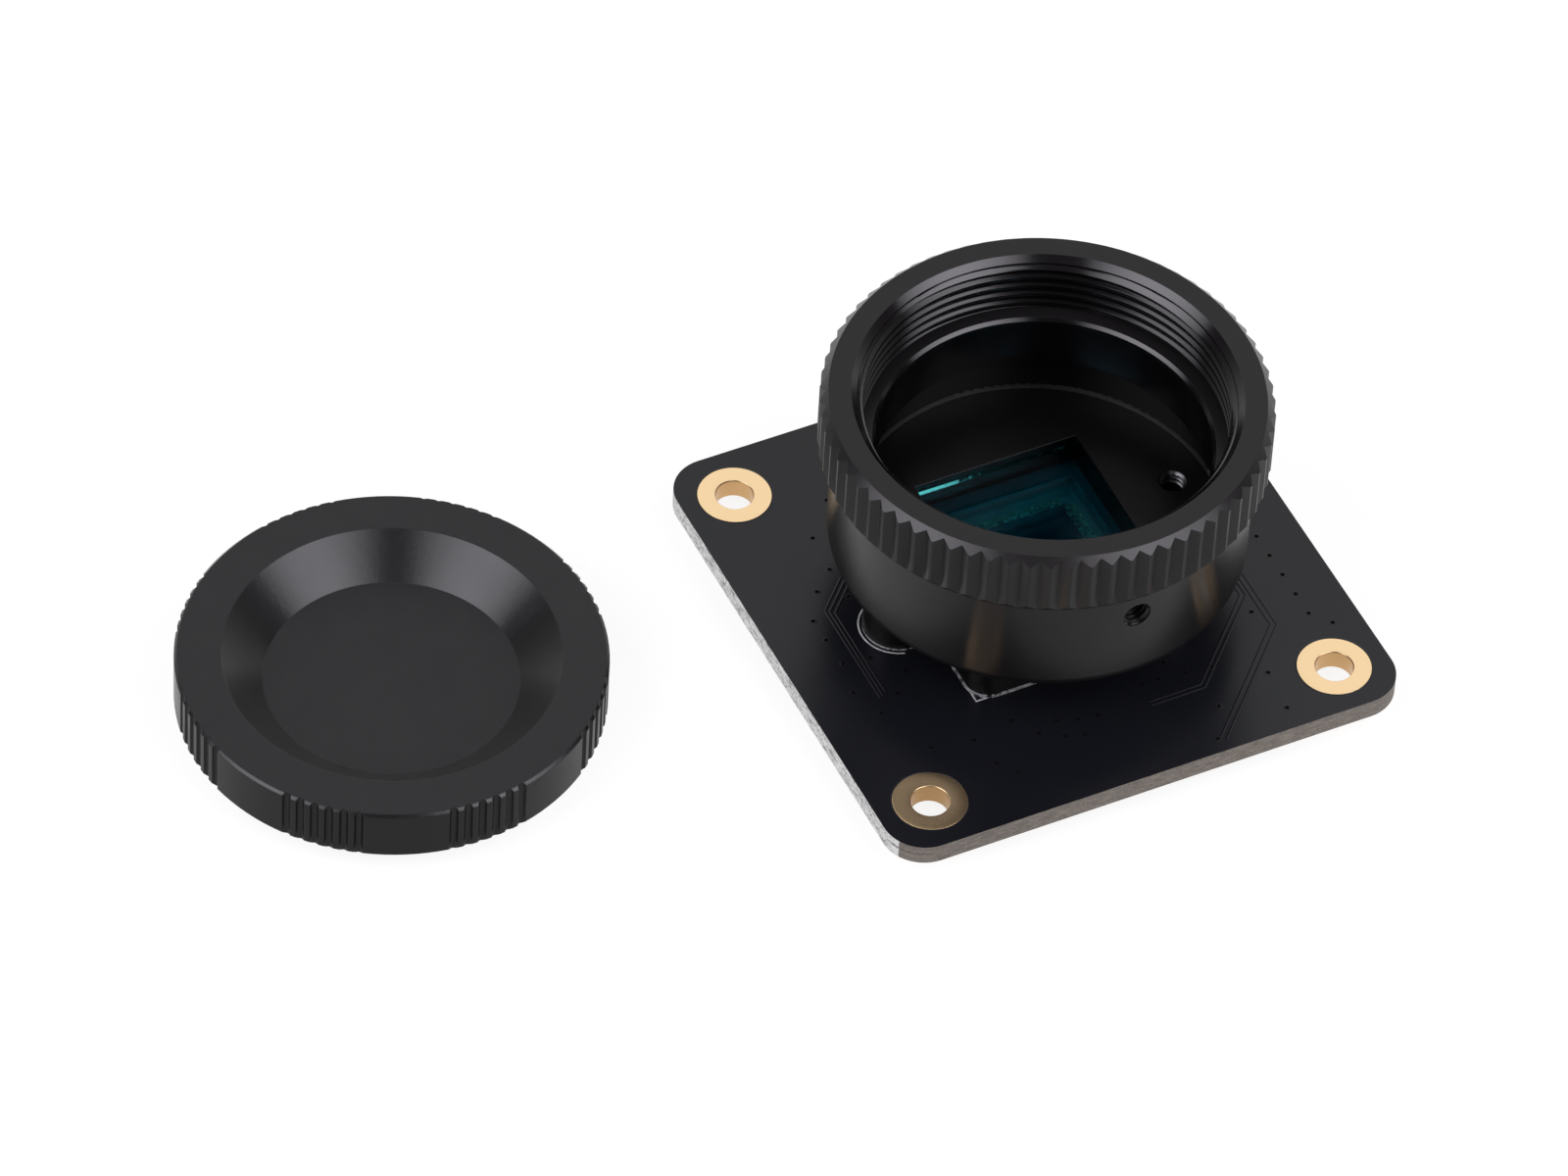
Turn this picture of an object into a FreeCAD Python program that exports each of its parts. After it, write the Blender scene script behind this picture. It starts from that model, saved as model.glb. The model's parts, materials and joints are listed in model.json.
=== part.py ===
import FreeCAD, Part
import Sketcher
import math
import os

# A board camera with a screw mount for lenses and its dust cap beside it.
# The origin is the centre of the four mounting holes on the board's underside.
# +Z is the lens axis, -Y is the edge where the ribbon cable goes in.
# Heights named "above the board" are counted from the board's upper face.

os.makedirs("parts", exist_ok=True)
doc = FreeCAD.newDocument("camera_module")

# Driving dimensions in millimetres, angles in degrees
SIZES = [
    ("board_side", 38.0, "side of the square circuit board"),
    ("board_thickness", 1.5, "thickness of the circuit board"),
    ("board_corner_radius", 2.9, "rounding of the board's corners"),
    ("hole_spacing", 30.3, "distance between neighbouring mounting holes"),
    ("hole_radius", 1.3, "finished radius of a mounting hole"),
    ("pad_radius", 2.55, "outer radius of the gold ring round a hole"),
    ("plating_thickness", 0.05, "thickness of the gold plated eyelet"),
    ("cs_flange_focus", 12.526, "sensor surface to the top of the housing"),
    ("die_height", 0.6, "sensor surface above the board"),
    ("housing_wall", 1.3, "wall of the round housing outside its undercut"),
    ("housing_underside", 4.65, "underside of the round part above the board"),
    ("housing_floor", 5.5, "inner floor of the housing above the board"),
    ("housing_fillet", 1.0, "rounding of the housing's lower rim"),
    ("housing_edge", 0.15, "small bevel on the housing's upper rim"),
    ("adapter_thread_radius", 12.7, "bore that takes the lens ring's thread"),
    ("adapter_thread_length", 3.9, "depth of that bore below the housing's top"),
    ("undercut_relief", 0.2, "smooth bore under the thread, beyond the thread's radius"),
    ("floor_corner", 0.3, "rounding between that bore and the floor"),
    ("base_side", 16.9, "side of the square foot on the board"),
    ("base_corner_radius", 1.6, "rounding of the foot's corners"),
    ("screw_offset", 10.2, "housing screw to the lens axis"),
    ("ear_radius", 2.4, "radius of the round ear at a housing screw"),
    ("window_width", 12.1, "window in the floor along X"),
    ("window_length", 12.8, "window in the floor along Y"),
    ("window_edge", 0.06, "bevel round the window"),
    ("cavity_side", 14.6, "side of the hollow under the window"),
    ("cavity_corner_radius", 0.6, "rounding of that hollow's corners"),
    ("filter_seat", 3.15, "top of the filter glass above the board"),
    ("tapped_radius", 1.0, "outer radius of the M2 thread in a tapped hole"),
    ("lock_hole_height", 10.75, "radial tapped hole above the board"),
    ("ring_height", 5.0, "height of the lens ring above the housing"),
    ("ring_wall", 2.5, "lens ring from its thread to the crests of its knurl"),
    ("ring_bevel", 0.57, "bevel at the upper end of the knurl"),
    ("ring_lower_bevel", 0.42, "bevel at the lower end of the knurl, inward"),
    ("ring_lower_rise", 0.63, "height of that bevel"),
    ("knurl_depth", 0.37, "depth of a hollow knurl groove"),
    ("knurl_crest", 0.16, "width of the crest between two grooves"),
    ("knurl_count", 70.0, "number of knurl grooves"),
    ("mouth_bevel", 0.42, "bevel at the mouth of the lens thread"),
    ("lens_thread_radius", 12.7, "outer radius of the lens thread"),
    ("shelf_height", 0.56, "end of the lens thread above the housing's top"),
    ("shelf_bevel", 0.22, "bevel on the inner edge of that shelf"),
    ("ring_bore_radius", 11.3, "smooth bore through the ring"),
    ("boss_length", 3.4, "threaded boss below the ring"),
    ("boss_bevel", 0.3, "bevel at the boss's lower end"),
    ("thread_clearance", 0.05, "gap between the boss and the housing"),
    ("package_side", 13.0, "side of the sensor package"),
    ("package_height", 1.3, "height of the package without its glass"),
    ("package_wall", 1.15, "wall round the package's well"),
    ("glass_side", 12.4, "side of the sensor's cover glass"),
    ("glass_thickness", 0.6, "thickness of the cover glass"),
    ("die_width", 9.4, "sensor die along X"),
    ("die_length", 9.7, "sensor die along Y"),
    ("die_thickness", 0.25, "thickness of the sensor die"),
    ("gasket_opening", 11.2, "opening of the dust seal"),
    ("gasket_side", 14.2, "outer side of the dust seal"),
    ("filter_side", 14.0, "side of the filter glass"),
    ("filter_thickness", 0.8, "thickness of the filter glass"),
    ("screw_radius", 0.8, "core radius of a housing screw"),
    ("screw_reach", 4.2, "tip of a housing screw above the board"),
    ("screw_hole_clearance", 0.3, "gap round a housing screw in the board"),
    ("head_radius", 1.9, "radius of a screw head"),
    ("head_height", 1.3, "height of a screw head"),
    ("head_fillet", 0.55, "rounding of a screw head"),
    ("recess_reach", 1.05, "cross recess from the screw's axis to a wing's end"),
    ("recess_width", 0.46, "width of a wing of the cross recess"),
    ("recess_depth", 0.75, "depth of the cross recess"),
    ("socket_width", 15.6, "ribbon socket along X"),
    ("socket_depth", 3.9, "ribbon socket along Y, without the latch"),
    ("socket_height", 2.0, "ribbon socket below the board"),
    ("socket_inset", 2.1, "latch to the board's edge"),
    ("latch_depth", 1.1, "ribbon latch along Y"),
    ("latch_overhang", 0.6, "latch beyond each end of the socket"),
    ("ribbon_width", 12.0, "mouth for the ribbon cable"),
    ("ribbon_gap", 0.6, "height of that mouth"),
    ("ribbon_depth", 2.6, "depth of that mouth in the socket"),
    ("socket_step_depth", 1.3, "lower step along the socket's back"),
    ("socket_step_height", 0.55, "height that the step is set back by"),
    ("latch_grip", 0.4, "bevel along the latch's outer edge"),
    ("contact_count", 22.0, "number of contacts"),
    ("contact_pitch", 0.5, "distance between contacts"),
    ("contact_width", 0.22, "width of a contact tail"),
    ("contact_length", 0.8, "length of a contact tail"),
    ("contact_thickness", 0.15, "thickness of a contact tail"),
    ("contact_rise", 0.9, "height of a contact at the socket's back"),
    ("tab_width", 1.2, "solder tab at an end of the socket"),
    ("tab_length", 1.8, "length of a solder tab"),
    ("regulator_width", 2.9, "voltage regulator along X"),
    ("regulator_length", 1.6, "voltage regulator along Y"),
    ("regulator_height", 1.1, "voltage regulator below the board"),
    ("regulator_pitch", 5.6, "distance between regulators"),
    ("regulator_inset", 6.0, "row of regulators from the board's +Y edge"),
    ("chip_bevel", 0.14, "bevel round the free face of a moulded chip"),
    ("lead_width", 0.4, "width of a regulator lead"),
    ("lead_length", 0.6, "reach of a regulator lead"),
    ("lead_rise", 0.6, "height at which a lead leaves its regulator"),
    ("lead_bend", 0.24, "regulator to the outer face of a lead's upright"),
    ("lead_pitch", 0.95, "distance between regulator leads"),
    ("lead_thickness", 0.15, "thickness of a regulator lead"),
    ("oscillator_width", 3.2, "clock oscillator along X"),
    ("oscillator_length", 2.5, "clock oscillator along Y"),
    ("oscillator_height", 0.9, "clock oscillator below the board"),
    ("oscillator_base", 0.55, "height of the oscillator's base without the lid"),
    ("oscillator_lid_inset", 0.18, "lid to the edge of the oscillator's base"),
    ("memory_width", 3.0, "memory chip along X"),
    ("memory_length", 2.0, "memory chip along Y"),
    ("memory_height", 0.75, "memory chip below the board"),
    ("chip_row", 8.2, "oscillator and memory chip from the centre"),
    ("chip_offset", 6.2, "oscillator and memory chip from the middle"),
    ("passive_length", 1.0, "small capacitor or resistor, long side"),
    ("passive_width", 0.5, "small capacitor or resistor, short side"),
    ("passive_height", 0.5, "small capacitor below the board"),
    ("resistor_height", 0.35, "small resistor below the board"),
    ("passive_pitch", 1.7, "distance between small capacitors"),
    ("passive_row", 2.6, "rows behind the sensor from the centre"),
    ("bulk_length", 1.6, "larger capacitor, long side"),
    ("bulk_width", 0.8, "larger capacitor, short side"),
    ("bulk_height", 0.8, "larger capacitor below the board"),
    ("cap_radius", 14.55, "outer radius of the dust cap"),
    ("cap_height", 4.0, "height of the cap's rim"),
    ("cap_edge", 0.2, "bevel of the rim's edges"),
    ("cap_thread_length", 2.0, "screw spigot below the cap's rim"),
    ("cap_thread_clearance", 0.12, "gap between the spigot and the lens thread"),
    ("cap_thread_depth", 0.45, "height of the thread on the spigot"),
    ("cap_spigot_wall", 1.0, "wall of the screw spigot below its thread"),
    ("cap_web", 1.2, "thickness under the dish"),
    ("dish_radius", 11.42, "outer radius of the dish in the cap"),
    ("dish_floor_radius", 8.6, "flat floor of the dish"),
    ("dish_depth", 2.4, "depth of the dish"),
    ("grip_groups", 8.0, "groups of grip grooves round the cap"),
    ("grip_grooves", 6.0, "grooves in one group"),
    ("grip_pitch", 4.0, "angle between two grooves"),
    ("grip_start", 47.2, "direction of the first group's middle"),
    ("grip_groove_radius", 0.3, "radius of a grip groove"),
    ("grip_groove_depth", 0.26, "depth of a grip groove"),
    ("cap_centre_x", -43.45, "dust cap's axis along X"),
    ("cap_centre_y", 9.07, "dust cap's axis along Y"),
]


# The sheet that holds every driving dimension under its own name
sheet = doc.addObject("Spreadsheet::Sheet", "sizes")
for row, (alias, number, meaning) in enumerate(SIZES, start=1):
    sheet.set(f"A{row}", meaning)
    sheet.set(f"B{row}", str(number))
    sheet.setAlias(f"B{row}", alias)
doc.recompute()


class Size:
    """A number together with the formula that ties it to the sheet."""

    def __init__(self, formula, number):
        self.formula = formula
        self.number = number

    def __add__(self, other):
        other = as_size(other)
        return Size(f"({self.formula} + {other.formula})", self.number + other.number)

    def __sub__(self, other):
        other = as_size(other)
        return Size(f"({self.formula} - {other.formula})", self.number - other.number)

    def __mul__(self, other):
        other = as_size(other)
        return Size(f"({self.formula} * {other.formula})", self.number * other.number)

    def __truediv__(self, other):
        other = as_size(other)
        return Size(f"({self.formula} / {other.formula})", self.number / other.number)

    def __neg__(self):
        return Size(f"(0 - {self.formula})", -self.number)


def as_size(value):
    """A plain number as a fixed size."""
    if isinstance(value, Size):
        return value
    return Size(repr(float(value)), float(value))


def size(alias):
    """A size by its name in the sheet."""
    return Size(f"sizes.{alias}", float(sheet.get(alias)))


def cosine(angle):
    return Size(f"cos({angle.formula} * 1 deg)", math.cos(math.radians(angle.number)))


def sine(angle):
    return Size(f"sin({angle.formula} * 1 deg)", math.sin(math.radians(angle.number)))


def bind(item, field, value):
    """Tie one property of a document object to the sheet."""
    item.setExpression(field, as_size(value).formula)


def place(item, x=0, y=0, z=0):
    """Tie an object's place to the sheet."""
    for axis, value in (("x", x), ("y", y), ("z", z)):
        bind(item, f"Placement.Base.{axis}", value)


# Sketches: every corner and centre is dimensioned from the origin
def origin_part(body, role):
    return next(item for item in body.Origin.OriginFeatures if item.Role == role)


def new_sketch(body, name, role, height=0):
    sketch = body.newObject("Sketcher::SketchObject", name)
    sketch.AttachmentSupport = [(origin_part(body, role), "")]
    sketch.MapMode = "FlatFace"
    bind(sketch, "AttachmentOffset.Base.z", height)
    return sketch


def dimension(sketch, kind, geometry, point, value):
    """Fix one coordinate of a sketch point to a size of the sheet."""
    axis_line = {"DistanceX": -2, "DistanceY": -1}[kind]
    if value.number == 0:
        sketch.addConstraint(Sketcher.Constraint("PointOnObject", geometry, point, axis_line))
        return
    rule = Sketcher.Constraint(kind, -1, 1, geometry, point, value.number)
    index = sketch.addConstraint(rule)
    sketch.setExpression(f"Constraints[{index}]", value.formula)


def draw_polygon(sketch, corners):
    """A closed outline of straight lines through corners given as pairs of sizes."""
    corners = [(as_size(x), as_size(y)) for x, y in corners]
    spots = [FreeCAD.Vector(x.number, y.number, 0) for x, y in corners]
    first = sketch.GeometryCount
    count = len(spots)
    for index in range(count):
        sketch.addGeometry(Part.LineSegment(spots[index], spots[(index + 1) % count]))
    for index in range(count):
        after = first + (index + 1) % count
        sketch.addConstraint(Sketcher.Constraint("Coincident", first + index, 2, after, 1))
    for index, (x, y) in enumerate(corners):
        dimension(sketch, "DistanceX", first + index, 1, x)
        dimension(sketch, "DistanceY", first + index, 1, y)


def draw_rectangle(sketch, width, length, x=0, y=0):
    x, y = as_size(x), as_size(y)
    left, right = x - width / 2, x + width / 2
    near, far = y - length / 2, y + length / 2
    draw_polygon(sketch, [(left, near), (right, near), (right, far), (left, far)])


def draw_cross(sketch, reach, half):
    """A cross round the origin, with wings of that reach and half width."""
    draw_polygon(sketch, [
        (half, half), (half, reach), (-half, reach), (-half, half), (-reach, half),
        (-reach, -half), (-half, -half), (-half, -reach), (half, -reach), (half, -half),
        (reach, -half), (reach, half),
    ])


def draw_circle(sketch, x, y, radius):
    x, y, radius = as_size(x), as_size(y), as_size(radius)
    middle = FreeCAD.Vector(x.number, y.number, 0)
    circle = Part.Circle(middle, FreeCAD.Vector(0, 0, 1), radius.number)
    geometry = sketch.addGeometry(circle)
    dimension(sketch, "DistanceX", geometry, 3, x)
    dimension(sketch, "DistanceY", geometry, 3, y)
    index = sketch.addConstraint(Sketcher.Constraint("Radius", geometry, radius.number))
    sketch.setExpression(f"Constraints[{index}]", radius.formula)


# Features of a solid body
def new_body(label):
    body = doc.addObject("PartDesign::Body", label)
    body.Label = label
    return body


def pad(body, name, sketch, length):
    feature = body.newObject("PartDesign::Pad", name)
    feature.Profile = sketch
    bind(feature, "Length", length)
    return feature


def pocket(body, name, sketch, depth, upward=False):
    """Cut a sketch into the body, downward from its plane unless told otherwise."""
    doc.recompute()
    before = body.Shape.Volume
    feature = body.newObject("PartDesign::Pocket", name)
    feature.Profile = sketch
    feature.Reversed = upward
    bind(feature, "Length", depth)
    doc.recompute()
    if not body.Shape.Volume < before:
        raise ValueError(f"{name} cuts nothing from {body.Label}")
    return feature


def revolve(body, name, sketch):
    feature = body.newObject("PartDesign::Revolution", name)
    feature.Profile = sketch
    feature.ReferenceAxis = (sketch, ["V_Axis"])
    feature.Angle = 360
    return feature


def repeat_round(body, name, feature, count):
    """Repeat a feature round the body's vertical axis."""
    pattern = body.newObject("PartDesign::PolarPattern", name)
    pattern.Originals = [feature]
    pattern.Axis = (origin_part(body, "Z_Axis"), [""])
    pattern.Angle = 360
    bind(pattern, "Occurrences", count)
    body.Tip = pattern
    return pattern


def dress(body, kind, name, chosen, amount):
    """Fillet or chamfer the edges of the body's last feature that a test picks."""
    doc.recompute()
    base = body.Tip
    edges = [f"Edge{n}" for n, edge in enumerate(base.Shape.Edges, start=1) if chosen(edge)]
    if not edges:
        raise ValueError(f"{name} finds no edge on {body.Label}")
    feature = body.newObject(f"PartDesign::{kind}", name)
    feature.Base = (base, edges)
    bind(feature, "Radius" if kind == "Fillet" else "Size", amount)
    return feature


def near(a, b):
    return abs(a - b) < 1e-4


def edge_middle(edge):
    first, last = edge.ParameterRange
    return edge.valueAt((first + last) / 2)


def upright_corner(half_x, half_y):
    """Test for the upright edges at the corners of a rectangle."""
    def test(edge):
        spots = [vertex.Point for vertex in edge.Vertexes]
        if len(spots) != 2 or near(spots[0].z, spots[1].z):
            return False
        return all(near(abs(p.x), half_x.number) and near(abs(p.y), half_y.number) for p in spots)
    return test


def level_circle(radius, height):
    """Test for a full level circle round the lens axis."""
    def test(edge):
        if not hasattr(edge.Curve, "Radius") or not near(edge.Curve.Radius, radius.number):
            return False
        return near(edge.BoundBox.ZMin, height.number) and near(edge.BoundBox.ZMax, height.number)
    return test


def level_rectangle(half_x, half_y, height):
    """Test for the level edges of a rectangle round the lens axis."""
    def test(edge):
        box = edge.BoundBox
        if not near(box.ZMin, height.number) or not near(box.ZMax, height.number):
            return False
        p = edge_middle(edge)
        on_x = near(abs(p.x), half_x.number) and near(p.y, 0)
        on_y = near(abs(p.y), half_y.number) and near(p.x, 0)
        return on_x or on_y
    return test


# Plain blocks, cylinders and groups
def block(label, width, length, height, x=0, y=0, z=0):
    """A block with its middle at x, y and its lower face at z."""
    item = doc.addObject("Part::Box", label)
    item.Label = label
    bind(item, "Length", width)
    bind(item, "Width", length)
    bind(item, "Height", height)
    place(item, as_size(x) - as_size(width) / 2, as_size(y) - as_size(length) / 2, z)
    return item


def bevelled_block(label, width, length, height, bevel, x=0, y=0, z=0):
    """A block whose lower edges are bevelled, with its middle at x, y and its lower face at z."""
    width, length = as_size(width), as_size(length)
    body = new_body(label)
    outline = new_sketch(body, f"{label}_outline", "XY_Plane")
    draw_rectangle(outline, width, length)
    pad(body, f"{label}_pad", outline, height)
    lower = level_rectangle(width / 2, length / 2, as_size(0))
    dress(body, "Chamfer", f"{label}_bevel", lower, bevel)
    place(body, x, y, z)
    return body


def cut_away(label, base, tool):
    item = doc.addObject("Part::Cut", label)
    item.Label = label
    item.Base = base
    item.Tool = tool
    return item


def join(label, first, second):
    item = doc.addObject("Part::Fuse", label)
    item.Label = label
    item.Base = first
    item.Tool = second
    return item


def group(label, members):
    """Separate solids that share one file."""
    item = doc.addObject("Part::Compound", label)
    item.Label = label
    item.Links = members
    return item


# Heights that several pieces share
board_top = size("board_thickness")
housing_foot = board_top + size("housing_underside")
housing_floor = board_top + size("housing_floor")
housing_top = board_top + size("die_height") + size("cs_flange_focus")
ring_top = housing_top + size("ring_height")
filter_top = board_top + size("filter_seat")
filter_bottom = filter_top - size("filter_thickness")
package_top = board_top + size("package_height")
glass_top = package_top + size("glass_thickness")
ground = -size("socket_height")
half_spacing = size("hole_spacing") / 2
hole_places = [(half_spacing * i, half_spacing * j) for i in (-1, 1) for j in (-1, 1)]


def circuit_board():
    """The square board with its drilled mounting holes and screw holes."""
    body = new_body("circuit_board")
    outline = new_sketch(body, "board_outline", "XY_Plane")
    draw_rectangle(outline, size("board_side"), size("board_side"))
    pad(body, "board_plate", outline, board_top)
    half = size("board_side") / 2
    corner = upright_corner(half, half)
    dress(body, "Fillet", "board_corners", corner, size("board_corner_radius"))

    drilled = new_sketch(body, "mounting_holes", "XY_Plane", board_top)
    recess_above = new_sketch(body, "pad_recess_above", "XY_Plane", board_top)
    recess_below = new_sketch(body, "pad_recess_below", "XY_Plane")
    for x, y in hole_places:
        draw_circle(drilled, x, y, size("hole_radius") + size("plating_thickness"))
        draw_circle(recess_above, x, y, size("pad_radius"))
        draw_circle(recess_below, x, y, size("pad_radius"))
    pocket(body, "mounting_drilling", drilled, board_top)
    pocket(body, "pads_above", recess_above, size("plating_thickness"))
    pocket(body, "pads_below", recess_below, size("plating_thickness"), upward=True)

    screws = new_sketch(body, "screw_holes", "XY_Plane", board_top)
    for side in (-1, 1):
        radius = size("screw_radius") + size("screw_hole_clearance")
        draw_circle(screws, size("screw_offset") * side, 0, radius)
    pocket(body, "screw_drilling", screws, board_top)
    return body


def mounting_eyelets():
    """The gold plating of the four mounting holes, flush with both faces."""
    inner = size("hole_radius")
    outer = inner + size("plating_thickness")
    pad_edge = size("pad_radius")
    skin = size("plating_thickness")
    eyelets = []
    for number, (x, y) in enumerate(hole_places, start=1):
        body = new_body(f"eyelet_{number}")
        section = new_sketch(body, f"eyelet_section_{number}", "XZ_Plane")
        draw_polygon(section, [
            (inner, 0), (pad_edge, 0), (pad_edge, skin), (outer, skin),
            (outer, board_top - skin), (pad_edge, board_top - skin),
            (pad_edge, board_top), (inner, board_top),
        ])
        revolve(body, f"eyelet_turned_{number}", section)
        place(body, x, y, 0)
        eyelets.append(body)
    return group("mounting_eyelets", eyelets)


def sensor_package():
    """The ceramic carrier with the open well that holds the sensor die."""
    side = size("package_side")
    well_side = side - size("package_wall") * 2
    carrier = block("package_block", side, side, size("package_height"), z=board_top)
    well_floor = board_top + size("die_height") - size("die_thickness")
    well = block("package_well", well_side, well_side, package_top - well_floor, z=well_floor)
    return cut_away("sensor_package", carrier, well)


def sensor_die():
    """The silicon die on the floor of the package's well."""
    low = board_top + size("die_height") - size("die_thickness")
    return block("sensor_die", size("die_width"), size("die_length"), size("die_thickness"), z=low)


def cover_glass():
    """The clear glass that closes the sensor package."""
    side = size("glass_side")
    return block("cover_glass", side, side, size("glass_thickness"), z=package_top)


def dust_seal():
    """The soft square ring between the cover glass and the filter glass."""
    side = size("gasket_side")
    opening = size("gasket_opening")
    height = filter_bottom - glass_top
    ring = block("seal_block", side, side, height, z=glass_top)
    hole = block("seal_opening", opening, opening, height, z=glass_top)
    return cut_away("dust_seal", ring, hole)


def filter_glass():
    """The blue-green filter glass against the ledge below the window."""
    side = size("filter_side")
    return block("filter_glass", side, side, size("filter_thickness"), z=filter_bottom)


def mount_housing():
    """The machined housing: a round cup on a square foot with two ears."""
    body = new_body("mount_housing")
    bore = size("adapter_thread_radius")
    undercut = bore + size("undercut_relief")
    outer = undercut + size("housing_wall")
    undercut_top = housing_top - size("adapter_thread_length")
    edge = size("housing_edge")
    section = new_sketch(body, "housing_section", "XZ_Plane")
    draw_polygon(section, [
        (0, housing_foot), (outer, housing_foot), (outer, housing_top - edge),
        (outer - edge, housing_top), (bore, housing_top), (bore, undercut_top),
        (undercut, undercut_top), (undercut, housing_floor), (0, housing_floor),
    ])
    revolve(body, "housing_cup", section)
    rim = level_circle(outer, housing_foot)
    dress(body, "Fillet", "housing_lower_rim", rim, size("housing_fillet"))
    corner = level_circle(undercut, housing_floor)
    dress(body, "Fillet", "floor_corner", corner, size("floor_corner"))

    base = new_sketch(body, "foot_outline", "XY_Plane", board_top)
    draw_rectangle(base, size("base_side"), size("base_side"))
    pad(body, "foot", base, housing_foot - board_top)
    half = size("base_side") / 2
    corner = upright_corner(half, half)
    dress(body, "Fillet", "foot_corners", corner, size("base_corner_radius"))
    ears = new_sketch(body, "ear_outline", "XY_Plane", board_top)
    for side in (-1, 1):
        draw_circle(ears, size("screw_offset") * side, 0, size("ear_radius"))
    pad(body, "ears", ears, housing_foot - board_top)

    hollow = new_sketch(body, "hollow_outline", "XY_Plane", board_top)
    draw_rectangle(hollow, size("cavity_side"), size("cavity_side"))
    pocket(body, "hollow", hollow, size("filter_seat"), upward=True)
    half = size("cavity_side") / 2
    corner = upright_corner(half, half)
    dress(body, "Fillet", "hollow_corners", corner, size("cavity_corner_radius"))

    window = new_sketch(body, "window_outline", "XY_Plane", housing_floor)
    draw_rectangle(window, size("window_width"), size("window_length"))
    pocket(body, "window", window, housing_floor - filter_top)
    rim = level_rectangle(size("window_width") / 2, size("window_length") / 2, housing_floor)
    dress(body, "Chamfer", "window_bevel", rim, size("window_edge"))

    screws = new_sketch(body, "tapped_outline", "XY_Plane", housing_floor)
    for side in (-1, 1):
        draw_circle(screws, size("screw_offset") * side, 0, size("tapped_radius"))
    pocket(body, "tapped_holes", screws, size("housing_floor"))

    lock = new_sketch(body, "lock_outline", "XZ_Plane")
    draw_circle(lock, 0, board_top + size("lock_hole_height"), size("tapped_radius"))
    pocket(body, "lock_hole", lock, outer * 2, upward=True)
    return body


def lens_ring():
    """The knurled adapter ring: it screws into the housing and takes the lens."""
    body = new_body("lens_ring")
    crest = size("lens_thread_radius") + size("ring_wall")
    upper_bevel = size("ring_bevel")
    lower_bevel = size("ring_lower_bevel")
    lower_rise = size("ring_lower_rise")
    bore = size("ring_bore_radius")
    boss = size("adapter_thread_radius") - size("thread_clearance")
    boss_end = housing_top - size("boss_length")
    thread = size("lens_thread_radius")
    mouth = thread + size("mouth_bevel")
    shelf = housing_top + size("shelf_height")
    section = new_sketch(body, "ring_section", "XZ_Plane")
    draw_polygon(section, [
        (bore, boss_end), (boss - size("boss_bevel"), boss_end),
        (boss, boss_end + size("boss_bevel")), (boss, housing_top),
        (crest - lower_bevel, housing_top), (crest, housing_top + lower_rise),
        (crest, ring_top - upper_bevel), (crest - upper_bevel, ring_top),
        (mouth, ring_top), (thread, ring_top - size("mouth_bevel")),
        (thread, shelf), (bore + size("shelf_bevel"), shelf),
        (bore, shelf - size("shelf_bevel")),
    ])
    revolve(body, "ring_turned", section)

    # One hollow groove: a circle through both crest edges that is one depth deep
    depth = size("knurl_depth")
    half_width = crest * math.pi / size("knurl_count") - size("knurl_crest") / 2
    hollow = (half_width * half_width + depth * depth) / (depth * 2)
    groove = new_sketch(body, "knurl_outline", "XY_Plane", ring_top)
    draw_circle(groove, crest - depth + hollow, 0, hollow)
    first = pocket(body, "knurl_groove", groove, size("ring_height"))
    repeat_round(body, "knurl", first, size("knurl_count"))
    return body


def housing_screws():
    """Two pan head screws that hold the housing from below the board."""
    screws = []
    head = size("head_radius")
    core = size("screw_radius")
    tip = board_top + size("screw_reach")
    for number, side in enumerate((-1, 1), start=1):
        body = new_body(f"housing_screw_{number}")
        section = new_sketch(body, f"screw_section_{number}", "XZ_Plane")
        draw_polygon(section, [
            (0, -size("head_height")), (head, -size("head_height")), (head, 0),
            (core, 0), (core, tip - core / 2), (core / 2, tip), (0, tip),
        ])
        revolve(body, f"screw_turned_{number}", section)
        rim = level_circle(head, -size("head_height"))
        dress(body, "Fillet", f"screw_head_rim_{number}", rim, size("head_fillet"))
        recess = new_sketch(body, f"screw_recess_outline_{number}", "XY_Plane",
                            -size("head_height"))
        draw_cross(recess, size("recess_reach"), size("recess_width") / 2)
        pocket(body, f"screw_recess_{number}", recess, size("recess_depth"), upward=True)
        place(body, size("screw_offset") * side, 0, 0)
        screws.append(body)
    return group("housing_screws", screws)


# The ribbon socket hangs below the board's -Y edge with its mouth outward
mouth_edge = size("socket_inset") - size("board_side") / 2
socket_front = mouth_edge + size("latch_depth")
socket_back = socket_front + size("socket_depth")
mouth_low = ground + (size("socket_height") - size("ribbon_gap")) / 2


def ribbon_socket():
    """The moulded body of the ribbon socket with its mouth and a step along its back."""
    depth = size("socket_depth")
    middle = socket_front + depth / 2
    body = block("socket_block", size("socket_width"), depth, size("socket_height"),
                 y=middle, z=ground)
    reach = size("ribbon_depth")
    mouth = block("socket_mouth", size("ribbon_width"), reach, size("ribbon_gap"),
                  y=socket_front + reach / 2, z=mouth_low)
    hollowed = cut_away("socket_hollowed", body, mouth)
    step_depth = size("socket_step_depth")
    step = block("socket_step", size("socket_width"), step_depth, size("socket_step_height"),
                 y=socket_back - step_depth / 2, z=ground)
    return cut_away("ribbon_socket", hollowed, step)


def ribbon_latch():
    """The latch bar across the mouth, with the slot for the cable."""
    depth = size("latch_depth")
    width = size("socket_width") + size("latch_overhang") * 2
    middle = mouth_edge + depth / 2
    bar = bevelled_block("latch_bar", width, depth, size("socket_height"), size("latch_grip"),
                         y=middle, z=ground)
    slot = block("latch_slot", size("ribbon_width"), depth, size("ribbon_gap"),
                 y=middle, z=mouth_low)
    return cut_away("ribbon_latch", bar, slot)


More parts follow.
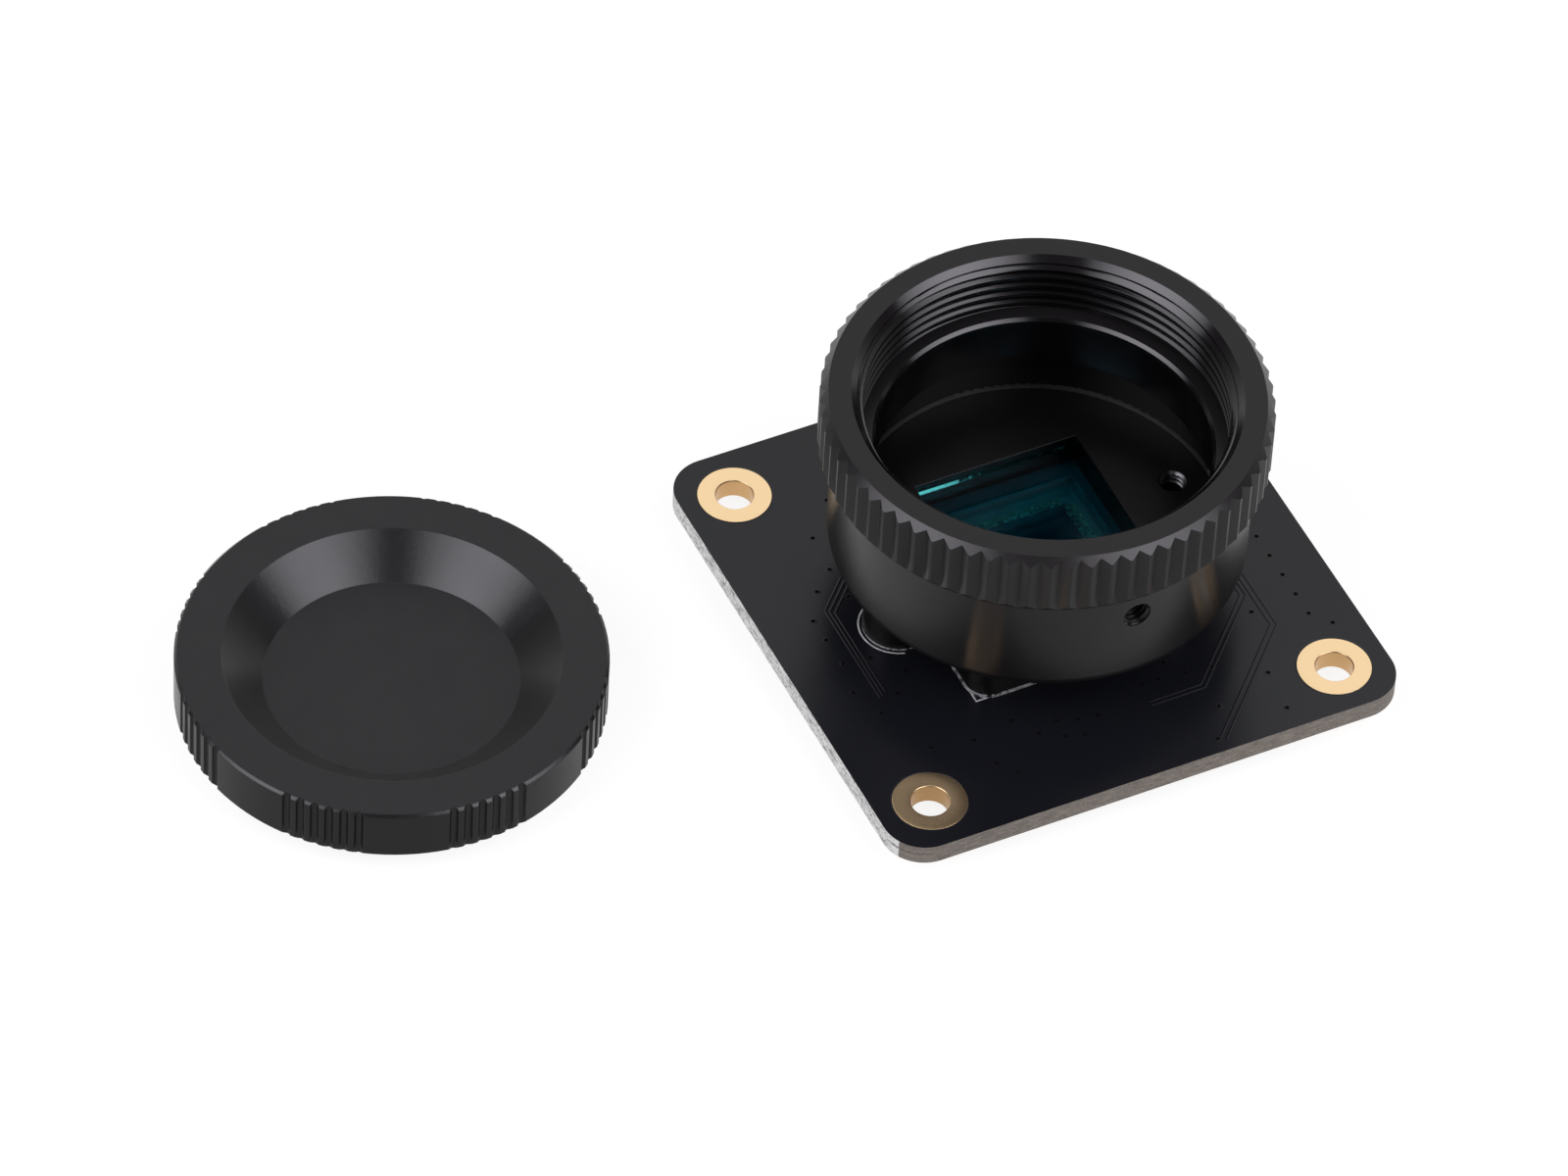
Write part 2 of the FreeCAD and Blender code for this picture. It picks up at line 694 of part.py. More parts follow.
def ribbon_contacts():
    """The row of bent contact tails at the back of the socket."""
    contacts = []
    count = round(size("contact_count").number)
    thickness = size("contact_thickness")
    length = size("contact_length")
    for number in range(count):
        x = size("contact_pitch") * (number - (count - 1) / 2)
        tail = block(f"contact_tail_{number + 1}", size("contact_width"), length, thickness,
                     x=x, y=socket_back + length / 2, z=-thickness)
        riser = block(f"contact_riser_{number + 1}", size("contact_width"), thickness,
                      size("contact_rise"), x=x, y=socket_back + thickness / 2,
                      z=-size("contact_rise"))
        contacts.append(join(f"contact_{number + 1}", tail, riser))
    return group("ribbon_contacts", contacts)


def socket_tabs():
    """The two metal tabs that solder the socket's ends to the board."""
    tabs = []
    for number, side in enumerate((-1, 1), start=1):
        x = (size("socket_width") + size("tab_width")) / 2 * side
        y = socket_front + size("socket_depth") / 2
        tabs.append(block(f"socket_tab_{number}", size("tab_width"), size("tab_length"),
                          size("contact_thickness"), x=x, y=y, z=-size("contact_thickness")))
    return group("socket_tabs", tabs)


regulator_places = [size("regulator_pitch") * step for step in (-1, 0, 1)]
regulator_row = size("board_side") / 2 - size("regulator_inset")


def voltage_regulators():
    """Three regulators in a row, each a small moulded body."""
    bodies = []
    for number, x in enumerate(regulator_places, start=1):
        bodies.append(bevelled_block(
            f"regulator_{number}", size("regulator_width"), size("regulator_length"),
            size("regulator_height"), size("chip_bevel"), x=x, y=regulator_row,
            z=-size("regulator_height")))
    return group("voltage_regulators", bodies)


def bent_lead(label, x, y, side):
    """A flat lead: a shoulder from the chip, an upright and a foot on the board."""
    width = size("lead_width")
    thickness = size("lead_thickness")
    rise = size("lead_rise")
    bend = size("lead_bend")
    foot = size("lead_length") - bend + thickness
    shoulder = block(f"{label}_shoulder", width, bend, thickness, x=x, y=y + bend / 2 * side,
                     z=-rise)
    upright = block(f"{label}_upright", width, thickness, rise, x=x,
                    y=y + (bend - thickness / 2) * side, z=-rise)
    sole = block(f"{label}_sole", width, foot, thickness, x=x,
                 y=y + (size("lead_length") - foot / 2) * side, z=-thickness)
    return join(label, join(f"{label}_bend", shoulder, upright), sole)


def regulator_leads():
    """Bent leads: three on one long side of each regulator and two on the other."""
    leads = []
    for regulator, x in enumerate(regulator_places, start=1):
        for side, steps in ((-1, (-1, 0, 1)), (1, (-1, 1))):
            for step in steps:
                edge = regulator_row + size("regulator_length") / 2 * side
                leads.append(bent_lead(f"lead_{regulator}_{len(leads) + 1}",
                                       x + size("lead_pitch") * step, edge, side))
    return group("regulator_leads", leads)


def clock_oscillator():
    """The oscillator that clocks the sensor: a metal lid on a ceramic base."""
    width = size("oscillator_width")
    length = size("oscillator_length")
    inset = size("oscillator_lid_inset") * 2
    x = -size("chip_offset")
    base = block("oscillator_foot", width, length, size("oscillator_base"), x=x,
                 y=size("chip_row"), z=-size("oscillator_base"))
    lid = block("oscillator_lid", width - inset, length - inset,
                size("oscillator_height") - size("oscillator_base"), x=x, y=size("chip_row"),
                z=-size("oscillator_height"))
    return join("clock_oscillator", base, lid)


def memory_chip():
    """The small memory chip beside the oscillator."""
    return bevelled_block("memory_chip", size("memory_width"), size("memory_length"),
                          size("memory_height"), size("chip_bevel"), x=size("chip_offset"),
                          y=size("chip_row"), z=-size("memory_height"))


def small_capacitors():
    """Two rows of small capacitors behind the sensor."""
    members = []
    for side in (-1, 1):
        for step in range(-2, 3):
            members.append(block(f"capacitor_{len(members) + 1}", size("passive_width"),
                                 size("passive_length"), size("passive_height"),
                                 x=size("passive_pitch") * step, y=size("passive_row") * side,
                                 z=-size("passive_height")))
    return group("small_capacitors", members)


def large_capacitors():
    """One larger capacitor beyond each regulator, towards the board's edge."""
    members = []
    row = regulator_row + size("regulator_length") + size("lead_length")
    for x in regulator_places:
        members.append(block(f"large_capacitor_{len(members) + 1}", size("bulk_length"),
                             size("bulk_width"), size("bulk_height"), x=x, y=row,
                             z=-size("bulk_height")))
    return group("large_capacitors", members)


def small_resistors():
    """A row of small resistors between the socket and the sensor."""
    members = []
    row = socket_back + size("contact_length") + size("passive_length") * 1.5
    for step in range(-3, 4):
        members.append(block(f"resistor_{len(members) + 1}", size("passive_width"),
                             size("passive_length"), size("resistor_height"),
                             x=size("passive_pitch") * step, y=row,
                             z=-size("resistor_height")))
    return group("small_resistors", members)


def dust_cap():
    """The moulded cap with a dish on top, grip grooves and a short screw spigot."""
    body = new_body("dust_cap")
    outer = size("cap_radius")
    rim_low = size("cap_thread_length")
    rim_top = rim_low + size("cap_height")
    crest = size("lens_thread_radius") - size("cap_thread_clearance")
    spigot = crest - size("cap_thread_depth")
    hollow = spigot - size("cap_spigot_wall")
    dish_low = rim_top - size("dish_depth")
    section = new_sketch(body, "cap_section", "XZ_Plane")
    draw_polygon(section, [
        (0, dish_low - size("cap_web")), (hollow, dish_low - size("cap_web")), (hollow, 0),
        (spigot, 0), (spigot, rim_low), (outer, rim_low), (outer, rim_top),
        (size("dish_radius"), rim_top), (size("dish_floor_radius"), dish_low), (0, dish_low),
    ])
    revolve(body, "cap_turned", section)
    low_rim = level_circle(outer, rim_low)
    top_rim = level_circle(outer, rim_top)
    dress(body, "Chamfer", "cap_rims", lambda e: low_rim(e) or top_rim(e), size("cap_edge"))

    # One group of round-bottomed grooves, then the same group all round
    grooves = new_sketch(body, "grip_outline", "XY_Plane", rim_top)
    distance = outer + size("grip_groove_radius") - size("grip_groove_depth")
    count = round(size("grip_grooves").number)
    for number in range(count):
        angle = size("grip_start") + size("grip_pitch") * (number - (count - 1) / 2)
        draw_circle(grooves, distance * cosine(angle), distance * sine(angle),
                    size("grip_groove_radius"))
    first = pocket(body, "grip_group", grooves, size("cap_height"))
    repeat_round(body, "grip", first, size("grip_groups"))
    place(body, size("cap_centre_x"), size("cap_centre_y"), ground)
    return body


makers = [
    circuit_board, mounting_eyelets, sensor_package, sensor_die, cover_glass, dust_seal,
    filter_glass, mount_housing, lens_ring, housing_screws, ribbon_socket, ribbon_latch,
    ribbon_contacts, socket_tabs, voltage_regulators, regulator_leads, clock_oscillator,
    memory_chip, small_capacitors, large_capacitors, small_resistors, dust_cap,
]
pieces = [make() for make in makers]
doc.recompute()

# Nothing is written before every object is sound
for item in doc.Objects:
    if {"Invalid", "Error"} & set(item.State):
        raise ValueError(f"{item.Label} failed: {item.State}")
for piece in pieces:
    if piece.Shape.isNull() or not piece.Shape.isValid() or not piece.Shape.Solids:
        raise ValueError(f"{piece.Label} is no valid solid")
for piece in pieces:
    piece.Shape.exportStep(f"parts/{piece.Label}.step")
    box = piece.Shape.BoundBox
    print(f"{piece.Label}: {len(piece.Shape.Solids)} solids, "
          f"{len(piece.Shape.Faces)} faces, {piece.Shape.Volume:.1f} cubic mm, "
          f"z {box.ZMin:.2f} to {box.ZMax:.2f}")
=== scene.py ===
# %% [markdown]
# A small board camera lies on a white table, with its dust cap beside it. The module is a square
# black circuit board that carries a round, black anodised mount with a knurled ring for the lens.
# Down in the mount a blue-green filter glass covers the sensor.
#
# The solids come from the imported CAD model, which this script never moves. Here they get their
# finishes, and the fine things that a lathe, a tap, a solder bath or a printing screen leaves.

# %% Load the frame
import json
import math
import bmesh
import bpy
import numpy as np
from mathutils import Matrix, Vector


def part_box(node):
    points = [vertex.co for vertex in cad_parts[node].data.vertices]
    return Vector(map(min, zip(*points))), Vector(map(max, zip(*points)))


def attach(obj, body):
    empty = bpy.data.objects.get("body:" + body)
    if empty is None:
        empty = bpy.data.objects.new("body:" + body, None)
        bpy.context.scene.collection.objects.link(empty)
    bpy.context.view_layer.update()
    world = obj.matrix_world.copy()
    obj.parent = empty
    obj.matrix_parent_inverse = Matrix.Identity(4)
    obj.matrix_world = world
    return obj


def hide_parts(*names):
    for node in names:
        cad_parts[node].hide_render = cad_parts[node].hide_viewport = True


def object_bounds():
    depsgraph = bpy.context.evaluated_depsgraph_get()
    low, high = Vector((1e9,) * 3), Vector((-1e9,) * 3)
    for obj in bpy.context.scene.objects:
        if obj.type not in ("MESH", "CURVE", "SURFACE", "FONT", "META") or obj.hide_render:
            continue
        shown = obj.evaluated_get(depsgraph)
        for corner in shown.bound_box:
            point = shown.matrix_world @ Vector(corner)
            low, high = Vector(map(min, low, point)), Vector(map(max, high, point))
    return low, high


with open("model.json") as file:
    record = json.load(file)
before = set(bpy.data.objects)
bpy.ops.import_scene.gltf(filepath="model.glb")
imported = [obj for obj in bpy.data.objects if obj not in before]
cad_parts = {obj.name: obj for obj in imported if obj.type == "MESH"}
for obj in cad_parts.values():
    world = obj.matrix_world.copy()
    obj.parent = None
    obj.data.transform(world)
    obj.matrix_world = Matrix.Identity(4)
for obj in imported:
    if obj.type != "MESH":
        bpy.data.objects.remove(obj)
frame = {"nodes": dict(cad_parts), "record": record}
cad_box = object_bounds()
nodes = frame["nodes"]
print("CAD nodes:", len(nodes), "box in mm:", [round(v * 1000, 2) for v in (cad_box[1] - cad_box[0])])

# %% [markdown]
# All lengths in this file are written in millimetres and multiplied by MM, because Blender works
# in metres. Heights and radii that belong to the CAD pieces are read from their boxes, so that a
# new pack carries every piece of this script with it.

# %% Units and the places that the frame gives
MM = 0.001


def box_of(node):
    """Low and high corners of a CAD node's box."""
    low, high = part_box(node)
    return np.array(low), np.array(high)


def mount_of(name):
    """One of the record's mounts."""
    return next(m for m in frame["record"]["mounts"] if m["name"] == name)


def mount_size(name, key):
    """A dimension of a mount, in metres."""
    return mount_of(name)["dims"][key] * MM


BOARD_LOW, BOARD_HIGH = box_of("circuit_board")
BOARD_TOP = BOARD_HIGH[2]
HOUSING_HIGH = box_of("mount_housing")[1]
RING_HIGH = box_of("lens_ring")[1]
CAP_LOW, CAP_HIGH = box_of("dust_cap")
CAP_CENTRE = (CAP_LOW + CAP_HIGH) / 2
GROUND = cad_box[0].z
print("board top", BOARD_TOP, "housing top", HOUSING_HIGH[2], "ring top", RING_HIGH[2], "ground", GROUND)

# %% [markdown]
# The camera stands where the photographer's stood: about 75 cm away, looking down at 47 degrees
# from the front left, with a long lens that keeps the board's edges almost parallel. A slight
# roll about the view axis levels the picture as the photographer framed it.

# %% The camera
VIEW_AZIMUTH = -28.132
VIEW_ELEVATION = 47.318
VIEW_ROLL = 3.480
VIEW_DISTANCE = 747.15 * MM
AIM = Vector((-15.775, 6.034, 1.5)) * MM
LENS_LENGTH = 254.093
SENSOR_WIDTH = 36.0


def direction(azimuth, elevation):
    """Unit vector from the aim towards a viewer: azimuth 0 stands at -Y, 90 at +X."""
    a, e = math.radians(azimuth), math.radians(elevation)
    return Vector((math.sin(a) * math.cos(e), -math.cos(a) * math.cos(e), math.sin(e)))


def add_object(name, data):
    """A new object that holds this data, linked into the scene."""
    thing = bpy.data.objects.new(name, data)
    bpy.context.scene.collection.objects.link(thing)
    return thing


camera_data = bpy.data.cameras.new("camera")
camera_data.lens = LENS_LENGTH
camera_data.sensor_width = SENSOR_WIDTH
camera_data.clip_start = 0.01
camera_data.clip_end = 20.0
camera = add_object("camera", camera_data)
bpy.context.scene.camera = camera
towards_viewer = direction(VIEW_AZIMUTH, VIEW_ELEVATION)
turn = (-towards_viewer).to_track_quat("-Z", "Y").to_matrix().to_4x4()
roll = Matrix.Rotation(math.radians(VIEW_ROLL), 4, "Z")
camera.matrix_world = Matrix.Translation(AIM + towards_viewer * VIEW_DISTANCE) @ turn @ roll
print("camera at", [round(v / MM, 1) for v in camera.matrix_world.translation])

# %% [markdown]
# Finishes and lamps are trees of nodes. These helpers write a tree in the order in which one would
# say it: a node with its inputs, a product, a blend, one range spread over another. With them a
# finish reads like a recipe.

# %% Helpers for node trees
def new_tree(name):
    """A new material and its empty node tree."""
    material = bpy.data.materials.new(name)
    material.use_nodes = True
    material.node_tree.nodes.clear()
    return material, material.node_tree


def add_node(tree, kind, inputs=None, **settings):
    """One node; inputs maps a socket's name or number to a value or to another socket."""
    node = tree.nodes.new(kind)
    for key, value in settings.items():
        setattr(node, key, value)
    for key, value in (inputs or {}).items():
        socket = node.inputs[key]
        if isinstance(value, bpy.types.NodeSocket):
            tree.links.new(value, socket)
        else:
            socket.default_value = value
    return node


def skin(tree, inputs):
    """The shader that most finishes are made of: base, shine, relief and an optional clear coat."""
    return add_node(tree, "ShaderNodeBsdfPrincipled", inputs)


def cover(tree, shader, end="ShaderNodeOutputMaterial"):
    """Make a shader the surface that its tree gives."""
    tree.links.new(shader.outputs[0], add_node(tree, end).inputs["Surface"])


def maths(tree, operation, first, second=0.0, third=0.0):
    """A Math node's output."""
    node = add_node(tree, "ShaderNodeMath", {0: first, 1: second, 2: third}, operation=operation)
    return node.outputs[0]


def times(tree, first, second):
    """The product of two numbers."""
    return maths(tree, "MULTIPLY", first, second)


def vectors(tree, operation, first, second=(0.0, 0.0, 0.0)):
    """A Vector Math node's outputs: the first is a vector, and Value is a number."""
    return add_node(tree, "ShaderNodeVectorMath", {0: first, 1: second}, operation=operation).outputs


def parts_of(tree, vector):
    """The x, y and z of a vector."""
    return add_node(tree, "ShaderNodeSeparateXYZ", {0: vector}).outputs


def blend(tree, factor, first, second):
    """A number between two others."""
    return add_node(tree, "ShaderNodeMix", {"Factor": factor, 2: first, 3: second}).outputs[0]


def mix_colour(tree, factor, first, second):
    """A colour between two others."""
    inputs = {0: factor, 6: first, 7: second}
    return add_node(tree, "ShaderNodeMix", inputs, data_type="RGBA").outputs[2]


def spread(tree, value, low, high, to_low=0.0, to_high=1.0):
    """One range spread over another, with the ends held: a Map Range node's output."""
    inputs = {"Value": value, "From Min": low, "From Max": high, "To Min": to_low, "To Max": to_high}
    return add_node(tree, "ShaderNodeMapRange", inputs).outputs[0]


print("node helpers ready")

# %% [markdown]
# Product photographs like this one are shot on a white table that glows by itself, with a little
# paint on top. So it stays white and still shows a soft shadow.

# %% The light table
TABLE_GLOW = 0.87
TABLE_PAINT = (0.22, 0.22, 0.22, 1.0)
TABLE_REACH = 2.0
GLOW_FULL_AT = 4.0 * MM
GLOW_LOW_AT = 25.0 * MM
GLOW_LOW_SHARE = 0.50
WHITE = (1.0, 1.0, 1.0, 1.0)
NEAR_SIDE = Vector((towards_viewer.x, towards_viewer.y, 0)).normalized()


def light_table_finish():
    """White paint plus its own glow; seen from below it is clear, so the underside can be viewed.

    The glow that black pieces mirror falls off towards the camera, where the table ends."""
    material, tree = new_tree("light_table")
    place = add_node(tree, "ShaderNodeTexCoord").outputs["Object"]
    nearer = vectors(tree, "DOT_PRODUCT", place, tuple(NEAR_SIDE))["Value"]
    dimmer = spread(tree, nearer, GLOW_FULL_AT, GLOW_LOW_AT, 1.0, GLOW_LOW_SHARE)
    mirrored = add_node(tree, "ShaderNodeLightPath").outputs["Is Glossy Ray"]
    strength = times(tree, blend(tree, mirrored, 1.0, dimmer), TABLE_GLOW)
    paint = add_node(tree, "ShaderNodeBsdfDiffuse", {"Color": TABLE_PAINT})
    glow = add_node(tree, "ShaderNodeEmission", {"Color": WHITE, "Strength": strength})
    both = add_node(tree, "ShaderNodeAddShader", {0: paint.outputs[0], 1: glow.outputs[0]})
    clear = add_node(tree, "ShaderNodeBsdfTransparent")
    side = add_node(tree, "ShaderNodeNewGeometry").outputs["Backfacing"]
    cover(tree, add_node(tree, "ShaderNodeMixShader", {0: side, 1: both.outputs[0], 2: clear.outputs[0]}))
    return material


corners = np.array([(-1, -1), (1, -1), (1, 1), (-1, 1)]) * TABLE_REACH
table_mesh = bpy.data.meshes.new("light_table")
table_mesh.from_pydata([(x, y, GROUND) for x, y in corners], [], [(0, 1, 2, 3)])
table_mesh.materials.append(light_table_finish())
table = add_object("light_table", table_mesh)
print("light table at", round(GROUND / MM, 3), "mm")

# %% [markdown]
# Black pieces show little but reflections, so the room matters as much as the lamps. The picture
# sees a white backdrop. What mirrors the room finds it white beyond the table and dark on the
# camera's side, where no photographer lights anything.

# %% The room
ROOM_FILL = 0.22
BACKDROP_WHITE = 1.0
ROOM_DARK = 0.04
TURN_LOW, TURN_HIGH, TURN_POWER = 0.18, 0.95, 1.5

world = bpy.data.worlds.new("room")
world.use_nodes = True
bpy.context.scene.world = world
room = world.node_tree
room.nodes.clear()
look = add_node(room, "ShaderNodeTexCoord").outputs["Generated"]
heading = vectors(room, "NORMALIZE", vectors(room, "MULTIPLY", look, (1, 1, 0))[0])[0]
facing = vectors(room, "DOT_PRODUCT", heading, tuple(-NEAR_SIDE))["Value"]
turned_away = spread(room, facing, TURN_LOW, TURN_HIGH)
backdrop = spread(room, maths(room, "POWER", turned_away, TURN_POWER), 0.0, 1.0, ROOM_DARK, BACKDROP_WHITE)
rays = add_node(room, "ShaderNodeLightPath").outputs
mirrored = maths(room, "MAXIMUM", rays["Is Glossy Ray"], rays["Is Transmission Ray"])
shown = blend(room, rays["Is Camera Ray"], blend(room, mirrored, ROOM_FILL, backdrop), 1.0)
sky = add_node(room, "ShaderNodeBackground", {"Color": WHITE, "Strength": shown})
cover(room, sky, "ShaderNodeOutputWorld")
print("room fill", ROOM_FILL, "backdrop", BACKDROP_WHITE, "dark side", ROOM_DARK)

# %% [markdown]
# Two large softboxes stand left and right of the camera. The dark gap between them is what draws
# the round forms, and their soft borders make the long, gentle ends of every highlight.

# %% The softboxes
BOX_RADIANCE = 3.5
BOX_COLOUR = (0.955, 0.93, 1.0, 1.0)
BOX_DISTANCE = 0.9
BOX_WIDTH = 1.0
BOX_HEIGHT = 0.80
BOX_LOSS = (0.85, 0.40)
BOX_ELEVATION = 42.0
BOX_SIDE_ANGLE = 60.0


def soften(lamp):
    """Cloth of a softbox: its brightness is 1 - loss (2 w - 1)^2, taken along both ways w."""
    lamp.use_nodes = True
    tree = lamp.node_tree
    tree.nodes.clear()
    ways = parts_of(tree, add_node(tree, "ShaderNodeNewGeometry").outputs["Parametric"])
    share = 1.0
    for way, loss in zip(ways, BOX_LOSS):
        out = maths(tree, "MULTIPLY_ADD", way, 2.0, -1.0)
        part = maths(tree, "MULTIPLY_ADD", times(tree, out, out), -loss, 1.0)
        share = times(tree, share, part)
    cloth = add_node(tree, "ShaderNodeEmission", {"Color": BOX_COLOUR, "Strength": share})
    cover(tree, cloth, "ShaderNodeOutputLight")


for side, label in ((-1, "softbox_left"), (1, "softbox_right")):
    lamp = bpy.data.lights.new(label, "AREA")
    lamp.shape = "RECTANGLE"
    lamp.size = BOX_WIDTH
    lamp.size_y = BOX_HEIGHT
    lamp.energy = BOX_RADIANCE * math.pi * BOX_WIDTH * BOX_HEIGHT
    soften(lamp)
    holder = add_object(label, lamp)
    out = direction(VIEW_AZIMUTH + side * BOX_SIDE_ANGLE, BOX_ELEVATION)
    holder.matrix_world = (Matrix.Translation(AIM + out * BOX_DISTANCE)
                           @ (-out).to_track_quat("-Z", "Y").to_matrix().to_4x4())
    holder.visible_camera = False
    print(label, "power", round(lamp.energy, 2), "W")
bpy.context.scene.view_settings.view_transform = "Standard"

# %% [markdown]
# Finishes come next. Most pieces of the mount are turned on a lathe, and a lathe leaves marks that
# run round the axis on every face, flat, conical or cylindrical. A noise that is read at (radius,
# height, a little of the angle) gives exactly that, because on each face of revolution one of the
# first two changes and the noise is stretched along the third.

# %% Lathe marks and grain
LATHE_FINE = (9000.0, 1.4)
LATHE_SCUFFS = (5000.0, 14.0)


def place_of(tree, centre=(0.0, 0.0, 0.0)):
    """Object coordinates with the origin moved to a piece's own centre."""
    spot = add_node(tree, "ShaderNodeTexCoord").outputs["Object"]
    moved = tuple(-c for c in centre)
    return add_node(tree, "ShaderNodeMapping", {"Vector": spot, "Location": moved}).outputs[0]


def radius_of(tree, x, y):
    """Distance from the upright axis: the root of x^2 + y^2."""
    return maths(tree, "SQRT", maths(tree, "ADD", times(tree, x, x), times(tree, y, y)))


def lathe_place(tree, spot, across, along):
    """(radius * across, height * across, angle * along) of a place round the vertical axis."""
    x, y, z = parts_of(tree, spot)
    angle = maths(tree, "ARCTAN2", y, x)
    joined = {0: times(tree, radius_of(tree, x, y), across), 1: times(tree, z, across),
              2: times(tree, angle, along)}
    return add_node(tree, "ShaderNodeCombineXYZ", joined).outputs[0]


def noise(tree, spot, scale, detail=2.0, roughness=0.5):
    """A Noise node's output; its grain is about one over the scale in metres."""
    inputs = {"Vector": spot, "Scale": scale, "Detail": detail, "Roughness": roughness}
    return add_node(tree, "ShaderNodeTexNoise", inputs).outputs[0]


def bumped(tree, height, distance, base=None):
    """A Bump node's normal; distance is the real height of the relief in metres."""
    inputs = {"Height": height, "Distance": distance, "Strength": 1.0}
    if base is not None:
        inputs["Normal"] = base
    return add_node(tree, "ShaderNodeBump", inputs).outputs[0]


def eased_edges(tree, radius):
    """The normal with every sharp edge rounded by that radius."""
    return add_node(tree, "ShaderNodeBevel", {"Radius": radius}, samples=4).outputs[0]


print("lathe marks ready")

# %% [markdown]
# One solid often carries several surfaces: a blasted outside, a polished chamfer, a dark bore. The
# finish tells them apart by where they lie and by which way they look.

# %% Which way a face looks
def facing_of(tree, kind="True Normal"):
    """The way a face looks; the kind Normal is the smoothed one."""
    return add_node(tree, "ShaderNodeNewGeometry").outputs[kind]


def inward_lean(tree, spot):
    """1 where a face looks towards the vertical axis, 0 elsewhere.

    The outward way is the place's level part divided by its length, and a face looks inward where
    its normal times that is below -0.25."""
    outward = vectors(tree, "NORMALIZE", vectors(tree, "MULTIPLY", spot, (1, 1, 0))[0])[0]
    lean = vectors(tree, "DOT_PRODUCT", outward, facing_of(tree))["Value"]
    return maths(tree, "LESS_THAN", lean, -0.25)


def upward_lean(tree, kind="True Normal"):
    """How much a face looks up: 1 for a level face seen from above, 0 for an upright wall."""
    return parts_of(tree, facing_of(tree, kind))[2]


def across_grooves(tree, spot):
    """The way across the lathe's grooves: the normal crossed with the way round the axis."""
    around = vectors(tree, "CROSS_PRODUCT", (0, 0, 1), spot)[0]
    return vectors(tree, "CROSS_PRODUCT", facing_of(tree, "Normal"), around)[0]


def between(tree, value, low, high):
    """1 where a value lies between two limits."""
    return times(tree, maths(tree, "GREATER_THAN", value, low), maths(tree, "LESS_THAN", value, high))


print("face tests ready")

# %% [markdown]
# Black anodising is a dyed oxide skin on aluminium. The skin reflects a few percent of the light
# like a lacquer, and the dye swallows the rest. The ring was blasted before it was dyed, which
# makes it even and satin, but its bevels, its mouth and its thread were cut clean and shine.

# %% The blasted ring with its bright cuts
RING_INDEX = 1.35
RING_TOP_BLACK = (0.0085, 0.0072, 0.0080, 1.0)
RING_SIDE_BLACK = (0.0100, 0.0090, 0.0096, 1.0)
RING_BORE_BLACK = (0.0026, 0.0021, 0.0025, 1.0)
RING_TOP_ABOVE = float(RING_HIGH[2] - 0.8 * MM)
CUT_INDEX = 1.60
CUT_SHINE = 0.72
BEVEL_SHARE = 0.64


def ring_black_finish():
    """Satin where it was blasted, with a clear shine on the bevels, the mouth and the thread."""
    material, tree = new_tree("ring_black")
    spot = place_of(tree)
    lines = noise(tree, lathe_place(tree, spot, *LATHE_FINE), 1.0, 3.0, 0.6)
    grain = noise(tree, spot, 14000.0, 2.0, 0.6)
    stains = noise(tree, spot, 260.0, 3.0, 0.55)
    normal = bumped(tree, lines, 0.5e-6, eased_edges(tree, 0.04 * MM))
    normal = bumped(tree, grain, 1.6e-6, normal)
    up = upward_lean(tree)
    inside = inward_lean(tree, spot)
    height = parts_of(tree, spot)[2]
    mouth = times(tree, inside, maths(tree, "GREATER_THAN", height, float(HOUSING_HIGH[2])))
    cut = maths(tree, "MAXIMUM", mouth, times(tree, between(tree, up, 0.6, 0.8), BEVEL_SHARE))
    on_top = maths(tree, "GREATER_THAN", height, RING_TOP_ABOVE)
    side = mix_colour(tree, inside, RING_SIDE_BLACK, RING_BORE_BLACK)
    pale = times(tree, spread(tree, up, 0.2, 0.9), on_top)
    rough = blend(tree, inside, spread(tree, stains, 0.35, 0.65, 0.33, 0.39), 0.16)
    cover(tree, skin(tree, {
        "Base Color": mix_colour(tree, pale, side, RING_TOP_BLACK), "Roughness": rough,
        "Normal": normal, "IOR": RING_INDEX, "Coat Weight": times(tree, cut, CUT_SHINE),
        "Coat Roughness": 0.12, "Coat IOR": CUT_INDEX, "Coat Normal": normal}))
    return material


ring_finish = ring_black_finish()
print("ring finish:", ring_finish.name)

# %% [markdown]
# The housing was turned and dyed without blasting, so it is smoother than the ring and shows fine
# lines and scuffs. The walls of the window in its floor are given the darkest colour, a painted
# shade down in that hollow. Along the sharp lower edge of the foot the colour turns pale in
# patches: partly bare metal where the dye came off, partly a painted highlight of that edge.

# %% The turned housing
HOUSING_INDEX = 1.42
HOUSING_OUTER_BLACK = (0.0046, 0.0040, 0.0044, 1.0)
HOUSING_INNER_BLACK = (0.0058, 0.0054, 0.0054, 1.0)
SCUFF_BLACK = (0.001, 0.001, 0.001, 1.0)
# The window's colour is a painted shade, and the pale colour of the foot's lower edge is partly a painted
# highlight.
WINDOW_SHADE_BLACK = (0.0008, 0.0008, 0.0010, 1.0)
WORN_GLINT_PALE = (0.42, 0.42, 0.43, 1.0)
WORN_GLINT_BELOW = float(BOARD_TOP + 0.16 * MM)
BORE_REACH = 13.15 * MM
WINDOW_REACH = 9.4 * MM


